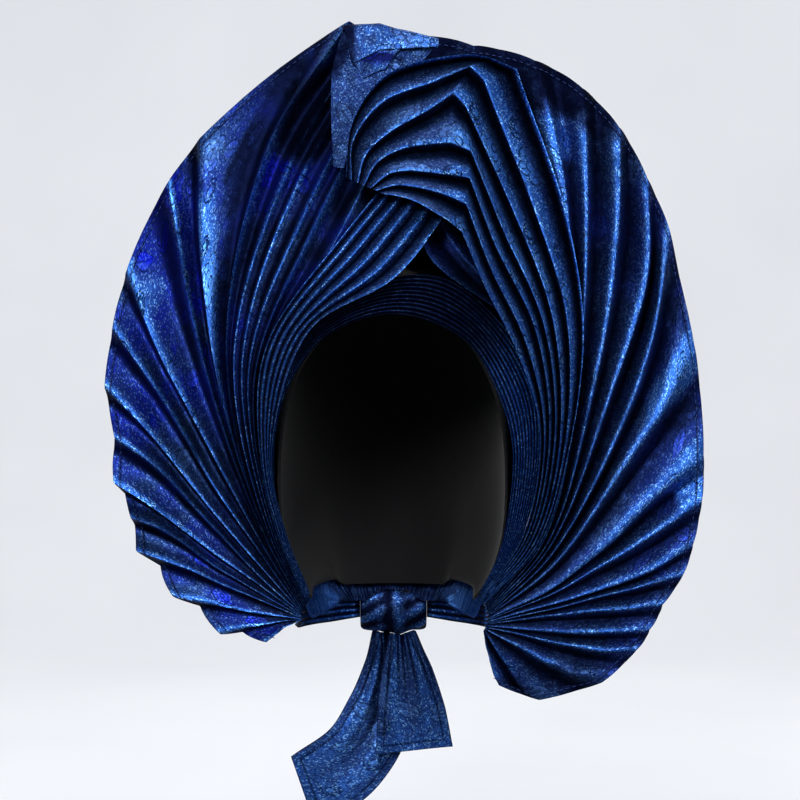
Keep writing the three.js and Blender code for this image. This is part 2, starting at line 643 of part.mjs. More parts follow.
add("inner_cap", innerCap(), knit);
add("forehead_band", foreheadBand(), jacquardDeep);
add("left_fan", fan(LEFT_FOLDS, GATHERED.leftFan), jacquard);
add("right_fan", fan(RIGHT_FOLDS, GATHERED.rightFan), jacquard);
add("cross_pleats", crossPleats(), jacquard);
add("swirl_folds", swirlFolds(), jacquard);
add("top_panel", topPanel(), jacquard);
add("back_wrap", backWrap(), jacquardDeep);
add("tie_left", tie(-1, GATHERS.left), jacquardDeep);
add("tie_right", tie(1, GATHERS.right), jacquardDeep);
add("back_knot", backKnot(), jacquardDeep);
add("tail_left", tail(TAIL_LEFT), jacquard);
add("tail_right", tail(TAIL_RIGHT), jacquard);

export default headTie;
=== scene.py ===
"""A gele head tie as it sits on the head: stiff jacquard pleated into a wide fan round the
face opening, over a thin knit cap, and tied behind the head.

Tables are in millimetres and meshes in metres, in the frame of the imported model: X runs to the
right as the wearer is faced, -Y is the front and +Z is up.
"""

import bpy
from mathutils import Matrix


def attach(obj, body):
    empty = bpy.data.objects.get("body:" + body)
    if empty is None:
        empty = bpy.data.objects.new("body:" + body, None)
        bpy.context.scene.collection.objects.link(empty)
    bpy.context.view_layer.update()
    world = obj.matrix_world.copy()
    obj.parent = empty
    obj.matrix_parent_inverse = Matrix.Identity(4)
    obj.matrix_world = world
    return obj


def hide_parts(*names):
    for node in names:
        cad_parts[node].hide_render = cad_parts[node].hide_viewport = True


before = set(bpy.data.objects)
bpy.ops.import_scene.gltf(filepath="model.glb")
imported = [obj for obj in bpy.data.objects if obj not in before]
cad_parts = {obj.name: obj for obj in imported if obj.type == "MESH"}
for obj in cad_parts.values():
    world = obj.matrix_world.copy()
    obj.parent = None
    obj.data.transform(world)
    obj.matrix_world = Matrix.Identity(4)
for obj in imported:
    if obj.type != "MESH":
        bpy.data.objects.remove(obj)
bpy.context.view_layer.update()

import math

import bpy
import numpy as np
from mathutils import Vector, noise

bl_info = {
    "name": "Tied gele head tie",
    "version": (1, 0, 0),
    "blender": (4, 5, 0),
    "location": "3D View > Sidebar > Head Tie",
    "description": "Builds the pleated cloth, knit cap and stage of a tied gele head tie",
    "category": "Object",
}

MM = 0.001

# The hollow inside the cap: half sizes about its own centre
HOLLOW = {"breadth": 71, "depth": 97, "rise": 112, "drop": 122, "round": 2.1, "upright": 2.6}
HOLLOW_CENTRE = np.array([0, 2, -112.0])

# The face opening is an ellipse from the front, and the fan sweeps back from it to its rim
OPENING = {"half_width": 71, "half_height": 93, "centre_z": -124, "sweep": 1.35}
FOREHEAD_Y = -80
GATHER_Y = 5
RIM_Y = {"middle": 15, "lean": 20}
FAN_SPAN = 1.7

# Pleats grow deeper away from the point where they are gathered
PLEAT = {"slope": 1.05, "near_gather": 0.2, "growth": 0.05, "deepest": 9}
GATHERS = ((-55, -208), (57, -210))

# How the front layers lie over the fan
LAYER = {"cloth": 2, "gap": 0.45, "over_band": 1.8, "cross_share": 0.35, "swirl_share": 0.5}
SWIRL_CLEAR = {"left": 40, "right": 75, "seat": 0.2}
BAND = {"thick": 1.0, "pleats": 10}
BAND_ROOM = {"most": 1.2, "share": 0.25}
BAND_LIFT = {"most": 3.4, "share": 0.8}

# Lines that the folds' gathered ends are spread along evenly, as (x, z) points from the front
GATHERED = {
    "left_fan": ((-59.3, -220), (-56.6, -213), (-52.3, -206.4)),
    "right_fan": ((57.8, -208.6), (60.1, -218.6), (57, -227)),
    "cross": ((-54.6, -205.5), (-51.6, -202)),
    "swirl_end": ((57.4, -208.6), (53.8, -204.4)),
    "swirl_low": ((91, -171), (80.2, -165)),
    "small": ((-28, 52), (-18.5, 47.2), (-6, 41.5)),
}

# Each row is one fold of a fan, from the rim to the gather. Points are (x, z) from the front;
# notch is how far the rim is drawn in after the fold, or below 0 how much it bulges out there,
# and stand is how much the fold stands out.
FAN_COLUMNS = ("rim", "outer", "mid", "inner", "notch", "stand")
LEFT_FOLDS = (
    ((-80, -234), (-75, -230), (-70, -226), (-65, -223), 6, 1),
    ((-109, -229), (-93, -225), (-83, -223), (-73, -221), 8, 1),
    ((-139, -205), (-113, -210), (-93, -214), (-77, -216.5), 8, 1),
    ((-162, -176), (-130, -187), (-103, -199), (-79, -208.5), 0.1, 1),
    ((-165, -155), (-144, -163), (-109, -187), (-80, -204.5), 3, 1),
    ((-176, -133), (-143, -154), (-106, -181), (-80, -200), -0.8, 1),
    ((-175, -105), (-147, -124), (-110, -163), (-80, -195), -0.3, 1),
    ((-181, -73), (-149, -105), (-111, -152), (-79, -189.5), -1, 1),
    ((-176, -36), (-145, -78), (-110, -136), (-78, -184), -1, 1),
    ((-167, -1), (-146, -50), (-113, -112), (-79, -175), -3, 1),
    ((-140, 55), (-130, 0), (-114, -66), (-82, -160), -1, 1),
    ((-120, 82), (-119, 15), (-106, -76), (-80, -159), -9, 1),
    ((-27, 153), (-76, 77), (-102, -48), (-81, -160), 2, 1),
    ((-12, 152), (-66, 58), (-97, -56), (-78, -161), 0, 1),
    ((-3, 150), (-61, 46), (-91.5, -60), (-75.5, -162), 0, 1),
    ((4, 148), (-55, 30), (-87.5, -64), (-73.7, -162.5), 0, 1),
    ((10, 145), (-50, 18), (-84, -68), (-72.8, -163), 0, 1),
    ((10.5, 112), (-36, 12), (-79.5, -63), (-72.3, -163.5), 0, 0.3),
    ((11, 78), (-20, 9), (-73.5, -54), (-71.9, -164), 0, 0.3),
    ((11.5, 40), (-6, 3), (-66, -44), (-71.5, -164.5), 0, 0.3),
)
RIGHT_FOLDS = (
    ((13, 42), (22, 5), (88, -54), (84.5, -160), -0.6, 0.3),
    ((12.5, 100), (30, 25), (93.5, -60), (86, -160), -0.6, 0.3),
    ((12, 145), (48, 46), (98, -60), (88, -160.5), -2, 0.6),
    ((50, 139), (78, 55), (102, -58), (90, -161), -2, 1),
    ((88, 130), (106, 56), (110, -56), (93, -163), -2, 1),
    ((118, 113), (121, 48), (115, -56), (95.5, -165), -2, 1),
    ((141, 89), (140, 28), (127, -60), (97.5, -168), -3, 1),
    ((159, 57), (159, -2), (137, -72), (98.5, -172), -2, 1),
    ((173, 25), (163, -37), (137, -109), (99, -178), -0.6, 1),
    ((189, -46), (171, -83), (138, -133), (99, -186), -2, 1),
    ((196, -116), (165, -142), (136, -171), (101, -199), -0.6, 1),
    ((195, -145), (167, -164), (134, -184), (101, -202.5), -0.6, 1),
    ((190, -173), (162, -190), (130, -201), (99, -210), -0.6, 1),
    ((184, -192), (157, -199), (128, -206), (97, -213.5), -0.6, 1),
    ((171, -211), (146, -213.5), (122, -215), (94, -217.5), -0.6, 1),
    ((163, -227), (137, -228.5), (112, -228), (86, -226), -0.6, 1),
    ((155, -240), (131, -240), (108, -235.5), (83, -229.5), -0.6, 1),
    ((133, -261), (112, -254), (93, -245), (75, -234.5), -0.6, 1),
    ((93, -272), (81, -262), (72, -249), (64.5, -237), -0.6, 1),
    ((67, -262), (63, -253), (60.5, -244), (58.5, -236), -0.6, 1),
)

# Diagonal pleats, from under the swirl down past the temple to the left gather
CROSS_COLUMNS = ("top", "upper", "temple", "side", "low")
CROSS_FOLDS = (
    ((-1, 53), (-33, 12), (-76, -51), (-80, -118), (-70, -166)),
    ((5, 52), (-28, 10), (-72, -50), (-78.5, -117), (-69.2, -165)),
    ((12, 50), (-22, 7), (-67, -49), (-77, -116), (-68.4, -164)),
    ((19, 46), (-15, 2), (-62, -47.5), (-75.6, -115), (-67.6, -163)),
    ((27, 41), (-8, -4), (-56.5, -45), (-74.3, -114), (-66.8, -162)),
    ((34, 33), (1, -10), (-49, -41), (-73.2, -113), (-66, -161)),
)

# Swirl folds climb from the right gather to a corner, and turn across it to the small gather
SWIRL_COLUMNS = ("side", "rise", "upper", "corner", "over", "turn", "fall")
SWIRL_FOLDS = (
    ((108, -112), (116, -38), (105, 35), (76, 122), (46, 129), (-3, 117), (-24, 88)),
    ((104.8, -110), (105.5, -32), (87, 32), (56, 114), (25, 112), (-6, 99), (-24, 74)),
    ((101.6, -108), (96.5, -33), (74, 30), (44, 97), (22, 95), (-2, 80), (-16, 66)),
    ((98.4, -106), (91, -36), (66, 22), (47, 69), (25, 73), (6, 69.5), (-9, 61)),
    ((95.2, -104), (85.6, -39), (61, 12), (46, 52), (28, 54), (12, 55.5), (-1, 54)),
    ((92, -102), (80.2, -48), (58, -2), (44, 36), (29, 42), (14, 45.5), (2, 46.5)),
    ((88.8, -100), (74.6, -54), (54, -14), (41, 18), (28, 28), (16, 35), (6, 39)),
)

# The peak of each fold just after its corner
SWIRL_PEAKS = ((60, 128), (47.2, 122), (36.8, 105.5), (35, 74), (34, 53.5), (33, 40.5), (33, 25))

# Sections of the band of fine pleats, round the opening from the left gather to the right one
BAND_COLUMNS = ("inner", "outer")
BAND_SECTIONS = (
    ((-71.6, -150), (-73.4, -150)),
    ((-72.3, -128), (-75, -127)),
    ((-71, -104), (-76, -100)),
    ((-62.5, -74), (-69, -62)),
    ((-45, -49), (-52, -36)),
    ((-24, -36), (-28, -19)),
    ((0, -31), (3, -8)),
    ((22, -35), (33, -10)),
    ((45, -48), (67, -38)),
    ((62, -75), (87, -72)),
    ((72, -106), (90.8, -104)),
    ((72.5, -136), (87.4, -140)),
    ((66, -176), (74.4, -180)),
    ((54, -202), (56.5, -203)),
)

# The flat panel behind the swirl, from its turned-over top edge down to its tip
PANEL_COLUMNS = ("left", "middle", "right")
PANEL_SECTIONS = (
    ((-31, 147), (-8, 148), (28, 139)),
    ((-37, 124), (-18, 124), (14, 124)),
    ((-38, 97), (-31, 96), (-20, 97)),
    ((-36, 61), (-32.5, 60), (-29.5, 60)),
)
FLAP = {"reach": 20, "radius": 2.2, "clear": 0.3, "under": 12, "behind": 1.7}

# Front edges over the crown: the knit cap's as (x, y, z), and half of the cloth's as (x, z)
CAP_EDGE = (
    (-50, 24, -204),
    (-60, 6, -182),
    (-67, -16, -148),
    (-68, -31, -108),
    (-60, -49, -75),
    (-44, -63, -49),
    (-24, -72, -36),
    (0, -75, -31),
    (22, -72, -35),
    (43, -63, -48),
    (59, -49, -75),
    (68, -31, -108),
    (67, -16, -148),
    (60, 6, -182),
    (49, 24, -204),
)
WRAP_EDGE = (
    (60, -200),
    (70, -176),
    (77, -146),
    (81, -106),
    (79, -62),
    (65, -14),
    (36, 22),
    (0, 36),
)
# Right halves of the arches that both follow over the crown and down the back
CROWN_ARCH = (
    (52, 40, -203),
    (65, 32, -168),
    (72, 26, -112),
    (60, 24, -44),
    (31, 22, -9),
    (0, 21, 0),
)
REAR_ARCH = (
    (44, 62, -203),
    (52, 70, -168),
    (52, 80, -118),
    (38, 86, -78),
    (19, 88, -58),
    (0, 89, -52),
)
NAPE = {"half_width": 34, "y": 80, "round": 6, "cap_z": -203, "wrap_z": -200, "tuck": 1.45}
KNIT = 1.4
WRAP = {"clear": 1.1, "gathers": 7, "gather_deep": 2.6, "gathered_from": 0.7, "settled": 0.45}

# The ties run round the neck from the gathers to the knot; x and y are for the right side
TIE_COLUMNS = ("x", "y", "height")
TIE_PATH = (
    (56.5, 12.6, 12),
    (60, 32, 18),
    (55, 57, 21),
    (41, 77, 21),
    (22.4, 92, 18),
)
TIE = {"z": -218, "below": 7, "ridges": 5, "ridge_deep": 1.6}

# The knot, how far the ties and the tails stay from it, and the tails that hang from it
KNOT = {"y": 94, "z": -221, "half_width": 22.3, "half_height": 16, "half_depth": 11}
KNOT_CLEAR = {"ties": 0.12, "tails": 0.5}
TAIL_COLUMNS = ("x", "y", "z", "width", "turn")
TAIL_LEFT = (
    (-5, 97, -238.8, 18, 4),
    (-3, 100, -262, 34, 10),
    (-9, 98, -292, 46, 28),
    (-27, 92, -322, 51, 55),
    (-60, 84, -344, 52, 71),
)
TAIL_RIGHT = (
    (6, 91, -238.8, 18, -4),
    (9, 90, -262, 34, -5),
    (12, 89, -290, 46, -6),
    (14, 88, -316, 52, -6),
)

# How the painted light and shade run from a fold's crest to its valley, 0 a painted highlight and
# 1 painted black shade, for the side after the crest and the side before it: (distances, tones)
TONES = {
    "even": (((0, 1), (0, 1)), ((0, 1), (0, 1))),
    "left": (
        ((0, 0.14, 0.28, 0.78, 1), (0.06, 0.16, 0.46, 0.54, 0.95)),
        ((0, 0.14, 0.34, 1), (0.06, 0.4, 0.9, 0.97)),
    ),
    "left_upper": (
        ((0, 0.26, 0.46, 0.75, 1), (0, 0.1, 0.5, 0.92, 1)),
        ((0, 0.2, 0.36, 1), (0, 0.2, 0.92, 1)),
    ),
    "right": (
        ((0, 0.12, 0.28, 0.5, 1), (0.2, 0.36, 0.66, 0.82, 0.94)),
        ((0, 0.3, 0.5, 0.7, 1), (0.2, 0.28, 0.52, 0.82, 0.94)),
    ),
    "climb": (
        ((0, 0.15, 0.4, 1), (0.06, 0.62, 0.86, 0.93)),
        ((0, 0.4, 0.58, 0.76, 1), (0.06, 0.12, 0.5, 0.85, 0.95)),
    ),
    "turn": (
        ((0, 0.15, 0.4, 1), (0.14, 0.66, 0.84, 0.92)),
        ((0, 0.08, 0.16, 0.6, 0.85, 1), (0.08, 0.24, 0.46, 0.58, 0.84, 0.94)),
    ),
    "edge": (((0, 0.34, 0.6, 1), (0.02, 0.16, 0.9, 1)), ((0, 1), (0, 1))),
    "hidden": (((0, 0.12, 0.22, 1), (0.2, 0.7, 0.93, 1)), ((0, 0.1, 0.2, 1), (0.2, 0.7, 0.93, 1))),
}

# Places on the fans that lie in shade, or that shine: centre (x, z), half sizes, turn in degrees,
# and how strongly, below 0 for shine
PATCH_COLUMNS = ("x", "z", "half_width", "half_height", "turn", "shade")
LEFT_PATCHES = (
    (-46, 96, 18, 34, -30, 0.95),
    (-112, 76, 17, 34, -25, 0.4),
    (-94, 62, 9, 34, -22, 0.6),
    (-150, -14, 12, 9, 50, -0.45),
)
RIGHT_PATCHES = (
    (60, 124, 60, 20, -14, 0.95),
    (120, 112, 34, 20, -40, 0.8),
    (103, 90, 6, 24, 12, -0.8),
    (181, -63, 10, 36, -32, -0.9),
    (181, -90, 13, 9, 30, 0.5),
    (188, -130, 9, 20, -8, -0.8),
    (100, -262, 40, 14, 10, 0.4),
)

# The rim bulges at least this much between two folds without a notch
LEAST_BULGE = 1.2

# The hem: its stitches in metres from the rim, and how much and where its doubled cloth stands out
HEM = {"stitched": 0.0052, "stands": 0.5, "step": (4.5, 6)}

# The weave in metres: the figure's repeat and line, how far the figure moves on from one fold to
# the next, and the twill's width
FIGURE = {"wide": 0.088, "tall": 0.08, "line": 0.00085}
FOLD_SHIFT = (0.083, 0.031)
TWILL = 0.0015

# The floor in metres: its height, and where it bends up into the wall
FLOOR = {"low": -0.46, "back": 1.6, "bend": 1.2, "high": 5.0, "half_width": 14.0}


# Paths and levels


def column(table, columns, name):
    return [row[columns.index(name)] for row in table]


def smooth(value, low, high):
    share = np.clip((value - low) / (high - low), 0, 1)
    return share * share * (3 - 2 * share)


def spline(points, at):
    """A centripetal Catmull-Rom curve read at shares of its point count."""
    corners = np.asarray(points, float)
    first = 2 * corners[0] - corners[1]
    last = 2 * corners[-1] - corners[-2]
    chain = np.vstack([first, corners, last])
    place = np.clip(np.asarray(at, float), 0, 1) * (len(corners) - 1)
    piece = np.minimum(place.astype(int), len(corners) - 2)
    t = (place - piece)[:, None]
    a, b, c, d = (chain[piece + k] for k in range(4))
    gaps = [np.sqrt(np.linalg.norm(q - p, axis=1))[:, None] for p, q in ((a, b), (b, c), (c, d))]
    middle = np.where(gaps[1] < 1e-4, 1, gaps[1])
    before = np.where(gaps[0] < 1e-4, middle, gaps[0])
    after = np.where(gaps[2] < 1e-4, middle, gaps[2])
    leave = ((b - a) / before - (c - a) / (before + middle)) * middle + (c - b)
    arrive = (c - b) - ((d - b) / (middle + after) - (d - c) / after) * middle
    return (
        (2 * t**3 - 3 * t**2 + 1) * b
        + (t**3 - 2 * t**2 + t) * leave
        + (3 * t**2 - 2 * t**3) * c
        + (t**3 - t**2) * arrive
    )


def path_through(points, shares):
    """The same curve read at shares of its length."""
    dense = spline(points, np.linspace(0, 1, 40 * len(points)))
    run = np.concatenate([[0], np.cumsum(np.linalg.norm(np.diff(dense, axis=0), axis=1))])
    at = np.asarray(shares, float) * run[-1]
    return np.column_stack([np.interp(at, run, axis) for axis in dense.T])


def dish(x, z):
    """Depth of the fan cloth at a point seen from the front."""
    across = x / OPENING["half_width"]
    up = (z - OPENING["centre_z"]) / OPENING["half_height"]
    reach = np.maximum(np.hypot(across, up), 1e-6)
    height = up / reach
    fall = (1 - height) / 2
    swept = 1 - (1 - fall) ** OPENING["sweep"]
    edge = FOREHEAD_Y + (GATHER_Y - FOREHEAD_Y) * swept
    rim = RIM_Y["middle"] - RIM_Y["lean"] * height
    out = np.clip((reach - 1) / FAN_SPAN, 0, 1)
    return edge + (rim - edge) * (1 - (1 - out) ** 1.5)


def pleat_room(x, z):
    """The most that a pleat may stand out at a point."""
    nearest = np.minimum(*(np.hypot(x - gx, z - gz) for gx, gz in GATHERS))
    return np.minimum(PLEAT["deepest"], PLEAT["near_gather"] + PLEAT["growth"] * nearest)


def layer_step(x, z, share):
    return pleat_room(x, z) * (1 + share) + LAYER["cloth"] + LAYER["gap"]


def cross_level(x, z):
    return dish(x, z) - layer_step(x, z, LAYER["cross_share"]) - LAYER["over_band"]


def swirl_level(x, z):
    over_cross = smooth(-x, -SWIRL_CLEAR["right"], -SWIRL_CLEAR["left"])
    cross = 2 * LAYER["cross_share"] * pleat_room(x, z) + LAYER["cloth"] + LAYER["gap"]
    own = layer_step(x, z, LAYER["swirl_share"]) - SWIRL_CLEAR["seat"]
    return dish(x, z) - own - over_cross * (cross + LAYER["over_band"])


def band_level(x, z):
    return dish(x, z) - np.minimum(BAND_LIFT["most"], BAND_LIFT["share"] * pleat_room(x, z))


def band_room(x, z):
    return np.minimum(BAND_ROOM["most"], BAND_ROOM["share"] * pleat_room(x, z))


def ripple(points, size, seed):
    """Smooth noise at points in millimetres, about -1 to 1, with features of the given size."""
    lift = Vector((seed * 17.3, seed * 5.1, seed * 9.7))
    flat = np.asarray(points, float).reshape(-1, 3) / size
    values = [noise.noise(Vector(point) + lift) for point in flat]
    return np.array(values).reshape(np.asarray(points).shape[:-1])


def patch_shade(table):
    """How dark (above 0) or bright (below 0) the patches make a point seen from the front."""

    def shade(x, z):
        total = np.zeros_like(x)
        for row in table:
            patch = dict(zip(PATCH_COLUMNS, row))
            lean = math.radians(patch["turn"])
            dx, dz = x - patch["x"], z - patch["z"]
            across = np.abs((dx * math.cos(lean) + dz * math.sin(lean)) / patch["half_width"])
            up = np.abs((dz * math.cos(lean) - dx * math.sin(lean)) / patch["half_height"])
            reach = (across**3 + up**3) ** (1 / 3)
            total = total + patch["shade"] * (1 - smooth(reach, 0.8, 1.15))
        return np.clip(total, -1, 1)

    return shade


def fold_tone(kind, side, at):
    return float(np.interp(at, *TONES[kind][side]))


# Meshes


def cloth_object(name, front, back, cloth_uv, marks, finish):
    """A closed wall from a front and a back grid in millimetres, with its cloth UV and marks.

    cloth_uv is an array of rows, columns, four corners and two values, in metres of flat cloth.
    """
    rows, columns = front.shape[:2]
    count = rows * columns
    points = np.concatenate([front.reshape(-1, 3), back.reshape(-1, 3)]) * MM
    index = np.arange(count).reshape(rows, columns)
    low = index[:-1, :-1]
    quads = np.stack([low, index[:-1, 1:], index[1:, 1:], index[1:, :-1]], axis=-1)
    front_faces = quads.reshape(-1, 4)
    back_faces = front_faces[:, ::-1] + count
    edges = []
    for line, flip in (
        (index[0], True),
        (index[-1], False),
        (index[:, 0], False),
        (index[:, -1], True),
    ):
        side = np.stack([line[:-1], line[1:], line[1:] + count, line[:-1] + count], axis=-1)
        edges.append(side[:, ::-1] if flip else side)
    edge_faces = np.concatenate(edges)
    faces = np.concatenate([front_faces, back_faces, edge_faces])
    corner_uv = cloth_uv.reshape(-1, 4, 2)
    edge_uv = np.zeros((len(edge_faces), 4, 2))
    uv = np.concatenate([corner_uv, corner_uv[:, ::-1], edge_uv])
    volume = np.einsum(
        "ij,ij->i", points[faces[:, 0]], np.cross(points[faces[:, 1]], points[faces[:, 2]])
    ).sum()
    volume += np.einsum(
        "ij,ij->i", points[faces[:, 0]], np.cross(points[faces[:, 2]], points[faces[:, 3]])
    ).sum()
    if volume < 0:
        faces = faces[:, ::-1]
        uv = uv[:, ::-1]
    mesh = bpy.data.meshes.new(name)
    mesh.from_pydata(points.tolist(), [], faces.tolist())
    mesh.uv_layers.new(name="cloth").data.foreach_set("uv", uv.reshape(-1))
    for mark, values in marks.items():
        attribute = mesh.attributes.new(mark, "FLOAT", "POINT")
        doubled = np.concatenate([values.reshape(-1), values.reshape(-1)])
        attribute.data.foreach_set("value", doubled.astype(np.float32))
    mesh.shade_smooth()
    mesh.set_sharp_from_angle(angle=math.radians(75))
    mesh.materials.append(finish)
    made = bpy.data.objects.new(name, mesh)
    bpy.context.scene.collection.objects.link(made)
    return made


def plain_uv(grid, start=(0.0, 0.0)):
    """Cloth UV for an unpleated grid: the distances along its rows and columns, in metres."""
    across = np.linalg.norm(np.diff(grid, axis=1), axis=2)
    along = np.linalg.norm(np.diff(grid, axis=0), axis=2)
    middle = grid.shape[1] // 2
    u = np.concatenate([np.zeros((len(grid), 1)), np.cumsum(across, axis=1)], axis=1)
    u -= u[:, middle : middle + 1]
    v = np.concatenate([np.zeros((1, grid.shape[1])), np.cumsum(along, axis=0)])
    flat = np.stack([u * MM + start[0], v * MM + start[1]], axis=-1)
    return np.stack([flat[:-1, :-1], flat[:-1, 1:], flat[1:, 1:], flat[1:, :-1]], axis=2)


def crest_bend(t, roundness, pinch):
    """0 on a crest to 1 in a valley: a rounded crest, and a valley floor that pinch flattens."""
    run = 1 - (1 - t) ** pinch
    return (np.sqrt(run * run + roundness**2) - roundness) / (
        math.sqrt(1 + roundness**2) - roundness
    )


def pleated(name, ridges, level, room, finish, **style):
    """A pleated cloth: ridges is an array of folds, rows and (x, z); see the defaults below."""
    look = {
        "steps": 6,
        "valley_at": 0.5,
        "slope": PLEAT["slope"],
        "round": 0.22,
        "pinch": 1.0,
        "tones": "even",
        "turn_tones": [],
        "turned": 0.0,
        "gloom": 0.0,
        "blue": 0.0,
        "notches": None,
        "stands": None,
        "rim_stand": 1,
        "shares": None,
        "thick": 1.2,
        "crumple": 0.5,
        "sway": 0.8,
        "hem": False,
        "shadow": None,
        "seed": 1,
        "start": (0.0, 0.0),
    }
    look.update(style)
    folds, rows = ridges.shape[:2]
    shares = np.linspace(0, 1, rows) if look["shares"] is None else look["shares"]
    notches = np.zeros(folds) if look["notches"] is None else np.asarray(look["notches"], float)
    stands = np.ones(folds) if look["stands"] is None else np.asarray(look["stands"])
    steps = look["steps"]
    valleys = np.broadcast_to(look["valley_at"], (folds,))
    tones = np.broadcast_to(look["tones"], (folds,))
    turn_tones = np.broadcast_to(look["turn_tones"] or look["tones"], (folds,))
    swing = np.array(
        [
            [noise.noise((fold * 3.7, share * 4, look["seed"])) for share in shares]
            for fold in range(folds)
        ]
    )
    heading = np.gradient(ridges, axis=1)
    heading /= np.maximum(np.linalg.norm(heading, axis=2), 1e-6)[..., None]
    beside = np.stack([-heading[..., 1], heading[..., 0]], axis=-1)
    loose = np.sin(np.pi * np.clip(shares, 0.08, 0.92)) ** 0.5
    ridges = ridges + beside * (look["sway"] * loose * swing)[..., None]
    spacing = np.linalg.norm(np.diff(ridges, axis=0), axis=2)
    around = np.concatenate([spacing[:1], (spacing[:-1] + spacing[1:]) / 2, spacing[-1:]])
    crest = np.minimum(around * look["slope"] / 4, room(ridges[..., 0], ridges[..., 1]))
    even_rim = look["rim_stand"] + (1 - look["rim_stand"]) * smooth(shares, 0, 0.25)
    open_rim = np.where(notches[:, None] > 0, 1, even_rim[None, :])
    crest = stands[:, None] * crest * (1 + 0.25 * swing) * open_rim
    flat, depth, mark, owner = [], [], [], []
    for fold in range(folds - 1):
        here, there = ridges[fold], ridges[fold + 1]
        inward = (here + there)[rows // 10] - (here + there)[0]
        inward = inward / max(np.linalg.norm(inward), 1e-6)
        valley_at = valleys[fold]
        valley = here * (1 - valley_at) + there * valley_at
        fall = np.minimum(spacing[fold] * look["slope"] / 4, room(valley[:, 0], valley[:, 1]))
        fall = fall * stands[fold] * open_rim[fold]
        notch = notches[fold]
        for side in (0, 1):
            own = fold + side
            roundness = look["round"] * (1 + 0.6 * noise.noise((own * 5.3, look["seed"], 2)))
            for step in range(steps + (1 if side and fold == folds - 2 else 0)):
                t = (step / steps if side == 0 else 1 - step / steps) ** 1.25
                share = valley_at * t if side == 0 else 1 - (1 - valley_at) * t
                bend = crest_bend(t, roundness, look["pinch"])
                bulge = (notch - LEAST_BULGE) * 4 * share * (1 - share)
                drawn = notch * t**2 if notch > 0 else bulge
                point = here * (1 - share) + there * share
                point = point + np.outer(drawn * (1 - shares) ** 3, inward)
                stand = crest[own] * (1 - bend) - fall * bend
                flat.append(point)
                depth.append(level(point[:, 0], point[:, 1]) - stand)
                # Painted light and shade: a painted highlight at the crest and painted shade
                # towards the valley, darker "hidden" painted shade on folds that stand out little,
                # and gloom adds painted shade towards the gather
                open_fold = min(stands[own] * 1.2, 1)
                over = fold_tone(turn_tones[own], side, t) * look["turned"]
                tone = fold_tone(tones[own], side, t) * (np.ones(rows) - look["turned"]) + over
                tone = tone * open_fold + fold_tone("hidden", side, t) * (1 - open_fold)
                gloom = look["gloom"] * smooth(shares, 0.3, 0.8) * smooth(t, 0.1, 0.3)
                mark.append(tone + (1 - tone) * gloom)
                owner.append(own)
    flat = np.stack(flat, axis=1)
    front = np.stack([flat[..., 0], np.stack(depth, axis=1), flat[..., 1]], axis=-1)
    fold_room = room(front[..., 0], front[..., 2])
    lift = look["crumple"] * np.minimum(fold_room / 5, 1)
    front[..., 1] -= lift * (
        ripple(front, 26, look["seed"])
        + 0.6 * ripple(front, 9, look["seed"] + 3)
        + 0.25 * ripple(front, 4, look["seed"] + 5)
    )
    lengths = np.linalg.norm(np.diff(ridges, axis=1), axis=2)
    runs = np.concatenate([np.zeros((folds, 1)), np.cumsum(lengths, axis=1)], axis=1)
    owner = np.array(owner)
    rim = np.stack([runs[own] for own in owner], axis=1)
    if look["hem"]:
        front[..., 1] -= HEM["stands"] * (1 - smooth(rim, *HEM["step"]))
    back = front.copy()
    back[..., 1] += look["thick"]
    across = np.linalg.norm(np.diff(front, axis=1), axis=2)
    run = np.concatenate([np.zeros((rows, 1)), np.cumsum(across, axis=1)], axis=1)
    uv = []
    for quad in range(front.shape[1] - 1):
        own = owner[quad] if quad % (2 * steps) < steps else owner[min(quad + 1, len(owner) - 1)]
        base = run[:, min(2 * steps * own, run.shape[1] - 1)]
        shift = [look["start"][k] + own * FOLD_SHIFT[k] for k in (0, 1)]
        left = (run[:, quad] - base) * MM + shift[0]
        right = (run[:, quad + 1] - base) * MM + shift[0]
        down = runs[own] * MM + shift[1]
        corners = [
            np.stack([left[:-1], down[:-1]], axis=-1),
            np.stack([right[:-1], down[:-1]], axis=-1),
            np.stack([right[1:], down[1:]], axis=-1),
            np.stack([left[1:], down[1:]], axis=-1),
        ]
        uv.append(np.stack(corners, axis=1))
    cloth_uv = np.stack(uv, axis=1)
    fold_mark = np.stack(mark, axis=1)
    blue = look["blue"] * (1 - smooth(shares, 0.4, 0.85))
    blue = np.repeat(blue[:, None], front.shape[1], axis=1)
    if look["shadow"] is not None:
        shade = look["shadow"](front[..., 0], front[..., 2])
        hidden, shown = np.clip(shade, 0, 1), np.clip(-shade, 0, 1)
        fold_mark = (fold_mark * (1 - 0.95 * hidden) + 0.95 * hidden) * (1 - shown)
        blue = blue * (1 - hidden)
    marks = {
        "fold": fold_mark,
        "rim": rim * MM if look["hem"] else np.ones(front.shape[:2]),
        "blue": blue,
    }
    return cloth_object(name, front, back, cloth_uv, marks, finish), front


def placed(piece, node):
    """The piece takes the place of a CAD node and moves with the one body."""
    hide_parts(node)
    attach(piece, "root")


# Shader fields


